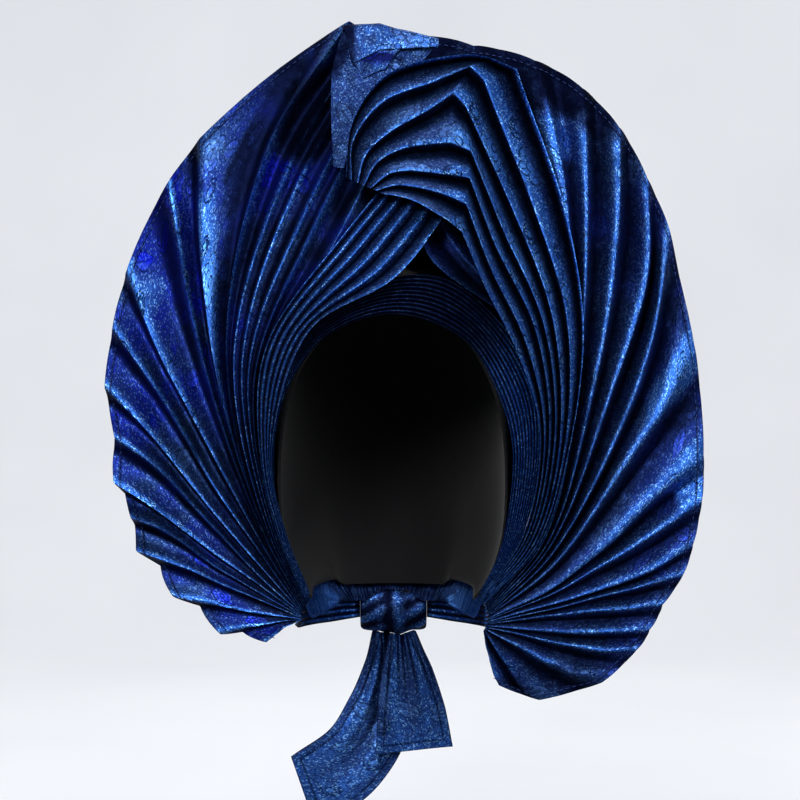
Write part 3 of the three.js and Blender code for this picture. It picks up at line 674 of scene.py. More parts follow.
class Finish:
    """A material being made; node() adds any node with its settings and inputs."""

    def __init__(self, name):
        self.material = bpy.data.materials.new(name)
        self.material.use_nodes = True
        self.tree = self.material.node_tree
        self.tree.nodes.clear()

    def node(self, kind, settings=None, inputs=None):
        made = self.tree.nodes.new("ShaderNode" + kind)
        for key, value in (settings or {}).items():
            if key == "stops":
                ramp = made.color_ramp
                while len(ramp.elements) < len(value):
                    ramp.elements.new(0.5)
                for element, (position, colour) in zip(ramp.elements, value):
                    element.position = position
                    element.color = (*colour, 1)
            else:
                setattr(made, key, value)
        for key, value in (inputs or {}).items():
            self.feed(made.inputs[key], value)
        return made

    def feed(self, socket, value):
        if isinstance(value, Field):
            self.tree.links.new(value.socket, socket)
        elif isinstance(value, bpy.types.NodeSocket):
            self.tree.links.new(value, socket)
        else:
            socket.default_value = value

    def field(self, kind, output, settings=None, inputs=None):
        return Field(self, self.node(kind, settings, inputs).outputs[output])

    def mix(self, amount, below, above):
        """A colour mix; below and above are colours or sockets."""
        made = self.node("Mix", {"data_type": "RGBA"})
        self.feed(made.inputs[0], amount)
        for socket, value in ((made.inputs[6], below), (made.inputs[7], above)):
            self.feed(socket, (*value, 1) if isinstance(value, tuple) else value)
        return made.outputs[2]


class Field:
    """A number over the surface; expressions on it add Math nodes."""

    def __init__(self, finish, socket):
        self.finish = finish
        self.socket = socket

    def math(self, operation, *others, first=None):
        operands = [self if first is None else first, *others]
        return self.finish.field(
            "Math", 0, {"operation": operation}, dict(enumerate(operands))
        )

    def __add__(self, other):
        return self.math("ADD", other)

    __radd__ = __add__

    def __sub__(self, other):
        return self.math("SUBTRACT", other)

    def __rsub__(self, other):
        return self.math("SUBTRACT", self, first=other)

    def __mul__(self, other):
        return self.math("MULTIPLY", other)

    __rmul__ = __mul__

    def __truediv__(self, other):
        return self.math("DIVIDE", other)

    def __pow__(self, other):
        return self.math("POWER", other)

    def __abs__(self):
        return self.math("ABSOLUTE")

    def __lt__(self, other):
        return self.math("LESS_THAN", other)

    def __gt__(self, other):
        return self.math("GREATER_THAN", other)

    def most(self, other):
        return self.math("MAXIMUM", other)

    def clamped(self):
        return self.math("MINIMUM", 1).math("MAXIMUM", 0)

    def part(self):
        return self.math("FRACT")

    def floor(self):
        return self.math("FLOOR")

    def cosine(self):
        return self.math("COSINE")

    def angle(self, other):
        return self.math("ARCTAN2", other)

    def root(self):
        return self.math("SQRT")


def stroke(distance, width):
    """1 on a line where distance is zero, fading to 0 over the width."""
    return (1.5 - abs(distance) * (1.5 / width)).clamped()


def blossom(x, y, radius, petals, line):
    """Outline and filling of a flower with ribbed petals round a heart."""
    reach = (x * x + y * y).root()
    turn = y.angle(x)
    swell = (turn * petals).cosine()
    edge = radius * (0.74 + 0.26 * abs(swell) ** 0.7)
    outline = stroke(reach - edge, line)
    inner = stroke(reach - edge * 0.62, line * 0.8)
    heart = stroke(reach - radius * 0.2, line)
    ribs = (turn * (petals * 5)).cosine() > 0.82
    inside = (reach < edge * 0.96) * (reach > edge * 0.66)
    lines = outline.most(inner).most(heart).most(ribs * inside * 0.8)
    return lines, reach < edge


def leaf(x, y, centre, turn, length, width, line):
    """Outline and filling of a pointed leaf with veins."""
    along = (x - centre[0]) * math.cos(turn) + (y - centre[1]) * math.sin(turn)
    across = (y - centre[1]) * math.cos(turn) - (x - centre[0]) * math.sin(turn)
    half = width * (1 - (along / length) ** 2)
    inside = abs(across) < half
    gap = length / 3.5
    ribs = stroke(((along + abs(across) * 0.8) / gap).part() * gap - gap / 2, line * 0.9)
    lines = stroke(abs(across) - half, line).most(stroke(across, line) * inside)
    return lines.most(ribs * inside * 0.8), inside


def scroll(x, y, centre, size, line):
    """Outline and filling of a curled tendril with a ringed end."""
    dx, dy = x - centre[0], y - centre[1]
    reach = (dx * dx + dy * dy).root()
    ring = stroke(reach - size * 0.45, line)
    half = (dx > -size * 0.2) * stroke(reach - size, line * 1.2)
    comma = stroke(reach - size * (0.7 + 0.08 * dy.angle(dx)), line) * (reach > size * 0.45)
    return ring.most(half).most(comma), reach < size * 0.45


def figure_of(u, v):
    """The woven figure: dark lines and filled shapes on a half-drop repeat."""
    wide, tall = FIGURE["wide"], FIGURE["tall"]

    def cell(shift_u, shift_v):
        across = (u + shift_u) / wide
        drop = (across.floor() * 0.5).part() * tall
        x = (across.part() - 0.5) * wide
        y = (((v + drop + shift_v) / tall).part() - 0.5) * tall
        return x, y

    line = FIGURE["line"]
    x, y = cell(0.0, 0.0)
    parts = [blossom(x, y, 0.0135, 3, line)]
    for centre, turn, length in (
        ((0.021, 0.0125), 0.6, 0.0105),
        ((-0.0205, 0.0145), 2.4, 0.0095),
        ((0.0195, -0.0155), -0.8, 0.0095),
        ((-0.022, -0.0115), -2.7, 0.0105),
    ):
        parts.append(leaf(x, y, centre, turn, length, length * 0.46, line))
    parts.append(scroll(x, y, (0.002, 0.0245), 0.0062, line))
    parts.append(scroll(x, y, (-0.004, -0.0245), 0.0052, line))
    x, y = cell(wide / 2, tall / 4)
    parts.append(blossom(x, y, 0.0072, 2.5, line))
    lines, fill = 0, None
    for drawn, inside in parts:
        lines = lines * (1 - inside) if fill is None else lines
        lines = lines.most(drawn)
        fill = inside if fill is None else fill.most(inside)
    return lines, fill


def jacquard(name, colours, hem=True):
    """Metallic twill with a dark-line floral figure; the fold mark paints a highlight on the
    crests and deepens it with painted shade in the valleys.
    """
    finish = Finish(name)
    cloth = finish.node("UVMap", {"uv_map": "cloth"}).outputs[0]
    place = finish.node("TexCoord").outputs["Object"]
    wander = finish.node(
        "TexNoise", {"noise_dimensions": "2D"}, {"Vector": cloth, "Scale": 38.0, "Detail": 1.0}
    )
    drift = finish.node(
        "VectorMath",
        {"operation": "MULTIPLY_ADD"},
        {0: wander.outputs["Color"], 1: (0.004, 0.004, 0), 2: cloth},
    )
    drifted = finish.node("SeparateXYZ", None, {0: drift.outputs[0]})
    u, v = Field(finish, drifted.outputs[0]), Field(finish, drifted.outputs[1])
    lines, fill = figure_of(u, v)

    plain = finish.node("SeparateXYZ", None, {0: cloth})
    pu, pv = Field(finish, plain.outputs[0]), Field(finish, plain.outputs[1])
    cells = finish.node(
        "TexVoronoi",
        {"voronoi_dimensions": "2D", "feature": "F1"},
        {"Vector": cloth, "Scale": 1300.0},
    )
    cell = finish.node("SeparateColor", None, {0: cells.outputs["Color"]})
    glint, tint = Field(finish, cell.outputs[0]), Field(finish, cell.outputs[1])
    streak = finish.node(
        "VectorMath", {"operation": "MULTIPLY"}, {0: cloth, 1: (1500.0, 620.0, 0)}
    )
    thread = finish.field(
        "TexNoise", 0, {"noise_dimensions": "2D"}, {"Vector": streak.outputs[0], "Scale": 1.0}
    )
    twill = (((pu + pv * 1.6) / TWILL).part() - 0.5).math("ABSOLUTE") * 2
    grain = ((thread - 0.5) * 2.6 + 0.75 * glint + 0.2 * twill).clamped()

    def patches(scale, contrast, level):
        cloud = finish.field("TexNoise", 0, None, {"Vector": place, "Scale": scale, "Detail": 3.0})
        return ((cloud - 0.5) * contrast + level).clamped()

    def step(value, low, high):
        return finish.field(
            "MapRange",
            0,
            {"interpolation_type": "SMOOTHSTEP"},
            {"Value": value, "From Min": low, "From Max": high},
        )

    blue = patches(19.0, 7.0, 0.62) * finish.field("Attribute", "Fac", {"attribute_name": "blue"})
    # Noise that makes the edges of the painted highlight and painted shade uneven
    shade_edge_noise = patches(210.0, 2.4, 0.5)
    fold = finish.field("Attribute", "Fac", {"attribute_name": "fold"})
    rim = finish.field("Attribute", "Fac", {"attribute_name": "rim"})
    depth = fold + (shade_edge_noise - 0.5) * 0.16
    # Painted highlight on the crests and painted shade in the valleys, both from the fold mark
    crest = 1 - step(depth, 0.05, 0.5)
    valley = step(depth, 0.5, 1.0)
    # Painted glints: pale specks painted on the cloth, most on the painted crest highlight
    painted_glints = (glint > 0.88) * (crest * 0.8 + 0.2)
    # The painted highlight takes the lit colours; elsewhere the cloth keeps its matt colours
    lit = finish.mix(grain * (0.6 + 0.4 * fill), colours["dim"], colours["bright"])
    lit = finish.mix(fill * 0.5, lit, colours["bright"])
    matt = finish.mix((grain * 0.55 + fill * 0.45).clamped(), colours["deep"], colours["slate"])
    ground = finish.mix(crest, matt, lit)
    shade = finish.mix(fill * 0.5 + 0.5 * grain, colours["deep"], colours["ultramarine"])
    ground = finish.mix(blue * (1 - crest), ground, shade)
    ground = finish.mix(lines * (0.5 + 0.42 * crest), ground, colours["line"])
    if hem:
        pressed = stroke(rim - HEM["stitched"], 0.0011).most(stroke(rim, 0.0009))
        valley = valley.most(pressed * 0.7)
    # Painted shade: the valleys are mixed towards near black, less where the blue patches are; the
    # pressed hem lines take the same dark colour
    ground = finish.mix(valley * (0.96 - 0.35 * blue), ground, colours["valley"])
    ground = finish.mix(painted_glints * (1 - valley) * 0.75, ground, colours["glint"])
    roughness = (0.4 + 0.12 * lines + 0.12 * tint + 0.1 * valley - 0.08 * fill).clamped()
    height = grain * 0.4 + glint * 0.4 + fill * 0.5 - lines * 0.7
    bump = finish.node("Bump", None, {"Strength": 0.5, "Distance": 0.00018, "Height": height})
    body = finish.node(
        "BsdfPrincipled",
        None,
        {
            "Base Color": ground,
            "Metallic": (0.94 - 0.2 * blue * (1 - crest) * (1 - lines)).clamped(),
            "Roughness": roughness,
            "Normal": bump.outputs[0],
            "Specular IOR Level": 0.1,
        },
    )
    finish.node("OutputMaterial", None, {0: body.outputs[0]})
    return finish.material


def knitted(name, colour):
    """Black stretch knit with fine ribs."""
    finish = Finish(name)
    cloth = finish.node("UVMap", {"uv_map": "cloth"}).outputs[0]
    plain = finish.node("SeparateXYZ", None, {0: cloth})
    u, v = Field(finish, plain.outputs[0]), Field(finish, plain.outputs[1])
    rib = abs((u / 0.0014).part() - 0.5) * 2
    loops = abs(((v / 0.0011) + rib * 0.5).part() - 0.5) * 2
    fuzz = finish.field(
        "TexNoise", 0, {"noise_dimensions": "2D"}, {"Vector": cloth, "Scale": 900.0}
    )
    height = rib * 0.6 + loops * 0.4 + fuzz * 0.3
    shade = finish.mix((height * 0.8).clamped(), (0.001, 0.001, 0.0015), colour)
    bump = finish.node(
        "Bump", None, {"Strength": 0.5, "Distance": 0.0003, "Height": height}
    )
    body = finish.node(
        "BsdfPrincipled",
        None,
        {
            "Base Color": shade,
            "Roughness": (0.78 + 0.15 * fuzz).clamped(),
            "Normal": bump.outputs[0],
            "Sheen Weight": 0.08,
            "Specular IOR Level": 0.2,
        },
    )
    finish.node("OutputMaterial", None, {0: body.outputs[0]})
    return finish.material


def stitch_finish(name, colour):
    """Twisted sewing thread."""
    finish = Finish(name)
    place = finish.node("TexCoord").outputs["Object"]
    ply = finish.field("TexNoise", 0, None, {"Vector": place, "Scale": 1600.0})
    shade = finish.mix(ply, (0.004, 0.008, 0.05), colour)
    body = finish.node(
        "BsdfPrincipled", None, {"Base Color": shade, "Roughness": (0.45 + 0.2 * ply).clamped()}
    )
    finish.node("OutputMaterial", None, {0: body.outputs[0]})
    return finish.material


def finishes():
    """The materials, made once from the colours in the sidebar."""
    chosen = bpy.context.scene.head_tie_colours
    if "front_jacquard" not in bpy.data.materials:
        colours = {
            name: tuple(getattr(chosen, name))
            for name in HeadTieColours.__annotations__
        }
        jacquard("front_jacquard", colours)
        jacquard("layer_jacquard", colours, hem=False)
        knitted("cap_knit", tuple(chosen.knit))
        stitch_finish("hem_thread", tuple(chosen.dim))
    return bpy.data.materials


# Pieces


def fan_ridges(folds, gather_line, shares):
    ends = path_through(gather_line, np.linspace(0, 1, len(folds)))
    lines = zip(*(column(folds, FAN_COLUMNS, name) for name in ("rim", "outer", "mid", "inner")))
    return np.array([path_through([*line, tuple(end)], shares) for line, end in zip(lines, ends)])


def fan_shares():
    return np.concatenate([np.linspace(0, 0.05, 9)[:-1], np.linspace(0.05, 1, 104)])


def rim_line(front, rim_distance):
    """Points on the cloth's front at one distance from its rim, for the hem stitches."""
    steps = np.linalg.norm(np.diff(front, axis=0), axis=2)
    runs = np.concatenate([np.zeros((1, front.shape[1])), np.cumsum(steps, axis=0)])
    line = []
    for at in range(front.shape[1]):
        line.append(
            [np.interp(rim_distance, runs[:, at], front[:, at, axis]) for axis in range(3)]
        )
    return np.array(line)


def stitch_tree():
    """Geometry Nodes: short thread stitches spread along the edges of a polyline."""
    if "hem_stitching" in bpy.data.node_groups:
        return bpy.data.node_groups["hem_stitching"]
    tree = bpy.data.node_groups.new("hem_stitching", "GeometryNodeTree")
    add = tree.interface.new_socket
    add("Geometry", in_out="INPUT", socket_type="NodeSocketGeometry")
    for name in ("Spacing", "Stitch length", "Thread radius"):
        add(name, in_out="INPUT", socket_type="NodeSocketFloat")
    add("Thread", in_out="INPUT", socket_type="NodeSocketMaterial")
    add("Geometry", in_out="OUTPUT", socket_type="NodeSocketGeometry")
    new, link = tree.nodes.new, tree.links.new
    start, end = new("NodeGroupInput"), new("NodeGroupOutput")
    curve = new("GeometryNodeMeshToCurve")
    resample = new("GeometryNodeResampleCurve")
    resample.mode = "LENGTH"
    tangent = new("GeometryNodeInputTangent")
    align = new("FunctionNodeAlignRotationToVector")
    align.axis = "Z"
    stitch = new("GeometryNodeMeshCylinder")
    stitch.inputs["Vertices"].default_value = 6
    place = new("GeometryNodeInstanceOnPoints")
    realize = new("GeometryNodeRealizeInstances")
    colour = new("GeometryNodeSetMaterial")
    link(start.outputs["Geometry"], curve.inputs["Mesh"])
    link(curve.outputs["Curve"], resample.inputs["Curve"])
    link(start.outputs["Spacing"], resample.inputs["Length"])
    link(start.outputs["Thread radius"], stitch.inputs["Radius"])
    link(start.outputs["Stitch length"], stitch.inputs["Depth"])
    link(tangent.outputs["Tangent"], align.inputs["Vector"])
    link(resample.outputs["Curve"], place.inputs["Points"])
    link(stitch.outputs["Mesh"], place.inputs["Instance"])
    link(align.outputs["Rotation"], place.inputs["Rotation"])
    link(place.outputs["Instances"], realize.inputs["Geometry"])
    link(realize.outputs["Geometry"], colour.inputs["Geometry"])
    link(start.outputs["Thread"], colour.inputs["Material"])
    link(colour.outputs["Geometry"], end.inputs["Geometry"])
    return tree


def stitched_line(name, line, settings):
    """Hem stitches along a line in millimetres, as a plain mesh."""
    mesh = bpy.data.meshes.new(name)
    count = len(line)
    mesh.from_pydata((line * MM).tolist(), [(i, i + 1) for i in range(count - 1)], [])
    made = bpy.data.objects.new(name, mesh)
    bpy.context.scene.collection.objects.link(made)
    modifier = made.modifiers.new("stitches", "NODES")
    modifier.node_group = stitch_tree()
    values = {
        "Spacing": settings.stitch_spacing,
        "Stitch length": settings.stitch_length,
        "Thread radius": settings.thread_radius,
        "Thread": finishes()["hem_thread"],
    }
    for item in modifier.node_group.interface.items_tree:
        if item.in_out == "INPUT" and item.name in values:
            modifier[item.identifier] = values[item.name]
    bpy.context.view_layer.update()
    shown = made.evaluated_get(bpy.context.evaluated_depsgraph_get())
    plain = bpy.data.meshes.new_from_object(shown)
    made.modifiers.remove(modifier)
    made.data = plain
    plain.name = name
    plain.shade_smooth()
    return made


def fan(name, node, folds, gather_line, rests_on, **style):
    settings = bpy.context.scene.head_tie_cloth
    shares = fan_shares()
    ridges = fan_ridges(folds, gather_line, shares)
    piece, front = pleated(
        name,
        ridges,
        dish,
        pleat_room,
        finishes()["front_jacquard"],
        shares=shares,
        notches=column(folds, FAN_COLUMNS, "notch"),
        stands=column(folds, FAN_COLUMNS, "stand"),
        thick=settings.thickness / MM,
        crumple=settings.crumple / MM,
        hem=True,
        **style,
    )
    line = rim_line(front, settings.hem_width / MM)
    line[:, 1] -= 0.15
    stitches = stitched_line(name + "_hem_stitches", line, settings)
    placed(piece, node)
    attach(stitches, "root")
    return piece


def hollow_reach(direction):
    half = np.where(direction[..., 2] > 0, HOLLOW["rise"], HOLLOW["drop"])
    level = np.abs(direction[..., 0] / HOLLOW["breadth"]) ** HOLLOW["round"]
    level = level + np.abs(direction[..., 1] / HOLLOW["depth"]) ** HOLLOW["round"]
    upright = np.abs(direction[..., 2] / half) ** HOLLOW["upright"]
    return (level ** (HOLLOW["upright"] / HOLLOW["round"]) + upright) ** (-1 / HOLLOW["upright"])


def mirrored_arch(half):
    right = np.asarray(half, float)
    left = right * (-1, 1, 1)
    return np.vstack([left, right[-2::-1]])


def crown_wall(edge, nape_z, rows, columns, rise, thick):
    """Grids of a wall over the hollow, from a front edge over the arches down to the nape."""
    sides = np.array([-1, -0.5, 0, 0.5, 1])
    nape = np.column_stack(
        [
            NAPE["half_width"] * sides,
            NAPE["y"] - NAPE["round"] * sides**2,
            np.full(5, nape_z),
        ]
    )
    across = np.linspace(0, 1, columns + 1)
    arches = (edge, mirrored_arch(CROWN_ARCH), mirrored_arch(REAR_ARCH), nape)
    arches = [spline(arch, across) for arch in arches]
    back = np.linspace(0, 1, rows + 1)
    outer = np.zeros((rows + 1, columns + 1, 3))
    inner = np.zeros_like(outer)
    for at, share in enumerate(across):
        meridian = spline([arch[at] for arch in arches], back) - HOLLOW_CENTRE
        direction = meridian / np.linalg.norm(meridian, axis=1)[:, None]
        reach = hollow_reach(direction) + rise(share, back)
        inner[:, at] = direction * reach[:, None] + HOLLOW_CENTRE
        outer[:, at] = direction * (reach + thick)[:, None] + HOLLOW_CENTRE
        even = smooth(back, 0.8, 1)
        for wall in (outer, inner):
            level = meridian[:, 2] + HOLLOW_CENTRE[2]
            wall[:, at, 2] = wall[:, at, 2] * (1 - even) + level * even
    return outer, inner


def spun_mesh(name, grid, middle):
    """A closed mesh from rings in millimetres between two poles, with cloth UV from the front."""
    along, around = grid.shape[0] - 1, grid.shape[1] - 1
    rings = grid[1:-1, :-1].reshape(-1, 3)
    points = np.concatenate([grid[:1, 0], rings, grid[-1:, 0]]) * MM

    def at(row, column):
        return 1 + (row - 1) * around + column % around

    last = len(points) - 1
    faces = [(0, at(1, i + 1), at(1, i)) for i in range(around)]
    for row in range(1, along - 1):
        faces += [
            (at(row, i), at(row, i + 1), at(row + 1, i + 1), at(row + 1, i)) for i in range(around)
        ]
    faces += [(at(along - 1, i), at(along - 1, i + 1), last) for i in range(around)]
    mesh = bpy.data.meshes.new(name)
    mesh.from_pydata(points.tolist(), [], faces)
    first = mesh.polygons[around]
    if first.normal.dot(first.center - Vector(middle * MM)) < 0:
        mesh.flip_normals()
    layer = mesh.uv_layers.new(name="cloth").data
    for loop in mesh.loops:
        point = mesh.vertices[loop.vertex_index].co
        layer[loop.index].uv = (point.x, point.z)
    return mesh


def knot_form(across, angle):
    """Radius of the knot as a share of its half sizes, and the grooves that are part of it."""
    middle = np.exp(-((across / 0.35) ** 2))
    strand = np.sin(7 * (angle + 0.9 * across))
    over = np.sin(9 * across + 0.6 * np.sin(angle)) * np.exp(-((across / 0.4) ** 2))
    groove = 0.045 * strand * (1 - middle) + 0.05 * over
    round_off = np.clip(1 - across**2, 0, 1) ** 0.065
    return round_off * (1 + 0.14 * middle) * (0.96 + groove), groove


def under_knot(x, y):
    """Height of the knot's underside."""
    across = np.clip(x / KNOT["half_width"], -0.95, 0.95)
    angle = -np.arccos(np.clip((y - KNOT["y"]) / (0.96 * KNOT["half_depth"]), -0.9, 0.9))
    return KNOT["z"] + KNOT["half_height"] * knot_form(across, angle)[0] * np.sin(angle)


def panel_grid(across):
    """The flat panel's middle surface, in rows from its top edge down."""
    down = np.linspace(0, 1, 61)
    edges = np.array(
        [path_through(column(PANEL_SECTIONS, PANEL_COLUMNS, name), down) for name in PANEL_COLUMNS]
    )
    x, z = (
        np.array([np.interp(across, (0, 0.5, 1), edges[:, at, axis]) for at in range(len(down))])
        for axis in (0, 1)
    )
    stand = pleat_room(x, z) + LAYER["cloth"] / 2 + LAYER["gap"] + FLAP["clear"]
    return np.stack([x, dish(x, z) - stand, z], axis=-1)


def turned_edge(top, across):
    """Rows that roll the top edge forward, hang as a flap and tuck in under it; their turns."""
    rows, turns = [], []

    def add(forward, down, turn):
        row = top.copy()
        row[:, 1] -= forward
        row[:, 2] -= down
        rows.append(row)
        turns.append(turn)

    radius = FLAP["radius"]
    for turn in np.linspace(0, math.pi, 9)[1:]:
        add(radius * (1 - math.cos(turn)), -radius * math.sin(turn), turn)
    reach = FLAP["reach"] * (1.2 - 1.08 * across) * smooth(across, 0.02, 0.14) + 0.4
    for fall in np.linspace(0, 1, 13)[1:]:
        add(2 * radius, fall * reach, math.pi)
    under = FLAP["under"] * smooth(across, 0.14, 0.3) * (1 - smooth(across, 0.52, 0.68)) + 0.3
    for fall in np.linspace(0, 1, 9):
        add(2 * radius - FLAP["behind"], reach + fall * under - 1.2 * (1 - fall), math.pi)
    return np.array(rows), np.array(turns)


def plain_marks(grid):
    return {"fold": np.zeros(grid.shape[:2]), "rim": np.ones(grid.shape[:2])}


# Stage


def pale_floor(settings):
    """A pale floor that bends up into a wall, lit evenly and not seen in the cloth."""
    mesh = bpy.data.meshes.new("floor")
    low, back, bend, wide = (FLOOR[name] for name in ("low", "back", "bend", "half_width"))
    curve = [(-wide, low), (back, low)]
    for turn in np.linspace(0, math.pi / 2, 25)[1:]:
        curve.append((back + bend * math.sin(turn), low + bend * (1 - math.cos(turn))))
    curve.append((back + bend, FLOOR["high"]))
    points = [(x, y, z) for y, z in curve for x in (-wide, wide)]
    faces = [(2 * i, 2 * i + 1, 2 * i + 3, 2 * i + 2) for i in range(len(curve) - 1)]
    mesh.from_pydata(points, [], faces)
    mesh.shade_smooth()
    floor = bpy.data.objects.new("floor", mesh)
    bpy.context.scene.collection.objects.link(floor)
    finish = Finish("pale_floor")
    place = finish.node("TexCoord").outputs["Object"]
    grain = finish.field("TexNoise", 0, None, {"Vector": place, "Scale": 3.0})
    shade = finish.mix(grain, (0.4, 0.41, 0.43), (0.44, 0.45, 0.47))
    body = finish.node(
        "BsdfPrincipled",
        None,
        {
            "Base Color": shade,
            "Roughness": 0.9,
            "Emission Color": shade,
            "Emission Strength": settings.glow,
        },
    )
    finish.node("OutputMaterial", None, {0: body.outputs[0]})
    mesh.materials.append(finish.material)
    floor.visible_diffuse = False
    floor.visible_glossy = False
    return floor


def studio_world(scene, settings):
    """A pale background, with its own strength for the light that it gives."""
    world = bpy.data.worlds.new("studio")
    scene.world = world
    world.use_nodes = True
    tree = world.node_tree
    tree.nodes.clear()
    seen = tree.nodes.new("ShaderNodeBackground")
    seen.inputs["Color"].default_value = (*settings.wall, 1)
    around = tree.nodes.new("ShaderNodeBackground")
    around.inputs["Color"].default_value = (0.86, 0.92, 1.0, 1)
    around.inputs["Strength"].default_value = settings.ambient
    rays = tree.nodes.new("ShaderNodeLightPath")
    mix = tree.nodes.new("ShaderNodeMixShader")
    out = tree.nodes.new("ShaderNodeOutputWorld")
    tree.links.new(rays.outputs["Is Camera Ray"], mix.inputs[0])
    tree.links.new(around.outputs[0], mix.inputs[1])
    tree.links.new(seen.outputs[0], mix.inputs[2])
    tree.links.new(mix.outputs[0], out.inputs[0])


def soft_lights(scene, settings):
    """Large lights on the object, and two on the wall behind it."""
    middle, wall = Vector((0.0, 0.0, -0.06)), Vector((0.0, 2.8, 0.0))
    for name, spot, aim, size, power in (
        ("key", (-0.45, -1.6, 0.75), middle, 0.5, settings.key),
        ("fill", (0.85, -1.25, 0.4), middle, 0.6, settings.fill),
        ("top", (0.1, -0.1, 1.1), middle, 0.6, settings.top),
        ("back", (0.4, 1.3, 0.9), middle, 0.9, settings.back),
        ("wall_left", (-1.3, 0.9, 0.7), wall, 1.6, settings.wall_light),
        ("wall_right", (1.3, 0.9, 0.7), wall, 1.6, settings.wall_light),
    ):
        data = bpy.data.lights.new(name, "AREA")
        data.size = size
        data.energy = power
        light = bpy.data.objects.new(name, data)
        light.location = spot
        light.rotation_euler = (aim - Vector(spot)).to_track_quat("-Z", "Y").to_euler()
        light.visible_camera = False
        scene.collection.objects.link(light)


def front_camera(scene):
    """The camera in front of the face opening."""
    data = bpy.data.cameras.new("camera")
    data.sensor_width = 36
    data.lens = 86.4
    camera = bpy.data.objects.new("camera", data)
    camera.location = (0.0044, -1.2, -0.081)
    camera.rotation_euler = (math.radians(90), 0, 0)
    scene.collection.objects.link(camera)
    scene.camera = camera


# Settings


class HeadTieCloth(bpy.types.PropertyGroup):
    thickness: bpy.props.FloatProperty(
        name="Cloth thickness",
        description="Thickness of the stiff jacquard",
        default=0.0012,
        unit="LENGTH",
    )
    crumple: bpy.props.FloatProperty(
        name="Crumple",
        description="How far the cloth waves between its folds",
        default=0.0009,
        unit="LENGTH",
    )
    hem_width: bpy.props.FloatProperty(
        name="Hem width",
        description="Distance of the hem's stitches from the rim",
        default=HEM["stitched"],
        unit="LENGTH",
    )
    stitch_spacing: bpy.props.FloatProperty(
        name="Stitch spacing",
        description="Distance from one hem stitch to the next",
        default=0.0046,
        unit="LENGTH",
    )
    stitch_length: bpy.props.FloatProperty(
        name="Stitch length",
        description="Length of one hem stitch",
        default=0.0029,
        unit="LENGTH",
    )
    thread_radius: bpy.props.FloatProperty(
        name="Thread radius",
        description="Half the thickness of the sewing thread",
        default=0.00022,
        unit="LENGTH",
    )


class HeadTieColours(bpy.types.PropertyGroup):
    # Painted highlight: the azure that the crests are painted with
    bright: bpy.props.FloatVectorProperty(
        name="Bright thread",
        description="Azure of the metallic threads on the crests",
        default=(0.07, 0.27, 0.9),
        subtype="COLOR",
    )
    dim: bpy.props.FloatVectorProperty(
        name="Dim thread",
        description="Royal blue between the metallic threads",
        default=(0.009, 0.045, 0.25),
        subtype="COLOR",
    )
    # Painted glints: the pale colour of the specks painted on the crests
    glint: bpy.props.FloatVectorProperty(
        name="Glint",
        description="Palest threads that catch the light",
        default=(0.25, 0.55, 1.0),
        subtype="COLOR",
    )
    slate: bpy.props.FloatVectorProperty(
        name="Slate",
        description="Grey-blue of the cloth beside the crests",
        default=(0.035, 0.085, 0.27),
        subtype="COLOR",
    )
    deep: bpy.props.FloatVectorProperty(
        name="Deep blue",
        description="Darkest blue of the open cloth",
        default=(0.004, 0.012, 0.07),
        subtype="COLOR",
    )
    ultramarine: bpy.props.FloatVectorProperty(
        name="Ultramarine",
        description="Saturated blue patches of the cloth in shade",
        default=(0.003, 0.01, 0.55),
        subtype="COLOR",
    )
    line: bpy.props.FloatVectorProperty(
        name="Figure line",
        description="Dark outlines of the woven flowers",
        default=(0.001, 0.003, 0.018),
        subtype="COLOR",
    )
    # Painted shade: the near black that the valleys between the folds are painted with
    valley: bpy.props.FloatVectorProperty(
        name="Valley",
        description="Near black deep between the folds",
        default=(0.0012, 0.002, 0.012),
        subtype="COLOR",
    )
    knit: bpy.props.FloatVectorProperty(
        name="Knit",
        description="Black of the knit cap",
        default=(0.0025, 0.0025, 0.0035),
        subtype="COLOR",
    )


class HeadTieStage(bpy.types.PropertyGroup):
    key: bpy.props.FloatProperty(
        name="Key light", description="Power of the large front light", default=26, min=0
    )
    fill: bpy.props.FloatProperty(
        name="Fill light", description="Power of the side light", default=11, min=0
    )
    top: bpy.props.FloatProperty(
        name="Top light", description="Power of the light above", default=5, min=0
    )
    back: bpy.props.FloatProperty(
        name="Back light", description="Power of the light behind", default=8, min=0
    )
    ambient: bpy.props.FloatProperty(
        name="Ambient", description="Strength of the even light all round", default=0.22, min=0
    )
    wall_light: bpy.props.FloatProperty(
        name="Backdrop light", description="Power of each light on the backdrop", default=8, min=0
    )
    glow: bpy.props.FloatProperty(
        name="Floor glow", description="Evens out the light on the floor", default=1.2, min=0
    )
    wall: bpy.props.FloatVectorProperty(
        name="Background",
        description="Pale background colour",
        default=(0.62, 0.64, 0.68),
        subtype="COLOR",
    )


# Operators


class HEADTIE_OT_left_fan(bpy.types.Operator):
    """Pleated fan on the left, from the lower rim up to the top"""

    bl_idname = "head_tie.left_fan"
    bl_label = "Left fan"

    def execute(self, context):
        fan(
            "left_fan_cloth", "left_fan", LEFT_FOLDS, GATHERED["left_fan"],
            ["inner_cap", "forehead_band"],
            valley_at=[0.72] * 9 + [0.62] * 3 + [0.5] * 8,
            rim_stand=0.5,
            round=0.16,
            pinch=1.7,
            tones=["left"] * 11 + ["left_upper"] * 9,
            gloom=0.75,
            blue=1.0,
            shadow=patch_shade(LEFT_PATCHES),
            seed=1,
        )
        return {"FINISHED"}


class HEADTIE_OT_right_fan(bpy.types.Operator):
    """Pleated fan on the right, from the top round to the lower rim"""

    bl_idname = "head_tie.right_fan"
    bl_label = "Right fan"

    def execute(self, context):
        fan(
            "right_fan_cloth", "right_fan", RIGHT_FOLDS, GATHERED["right_fan"],
            ["inner_cap", "forehead_band"],
            rim_stand=0.35,
            valley_at=0.42,
            round=0.55,
            pinch=1.3,
            tones="right",
            gloom=0.5,
            blue=0.45,
            shadow=patch_shade(RIGHT_PATCHES),
            seed=2,
            start=(0.31, 0.12),
        )
        return {"FINISHED"}


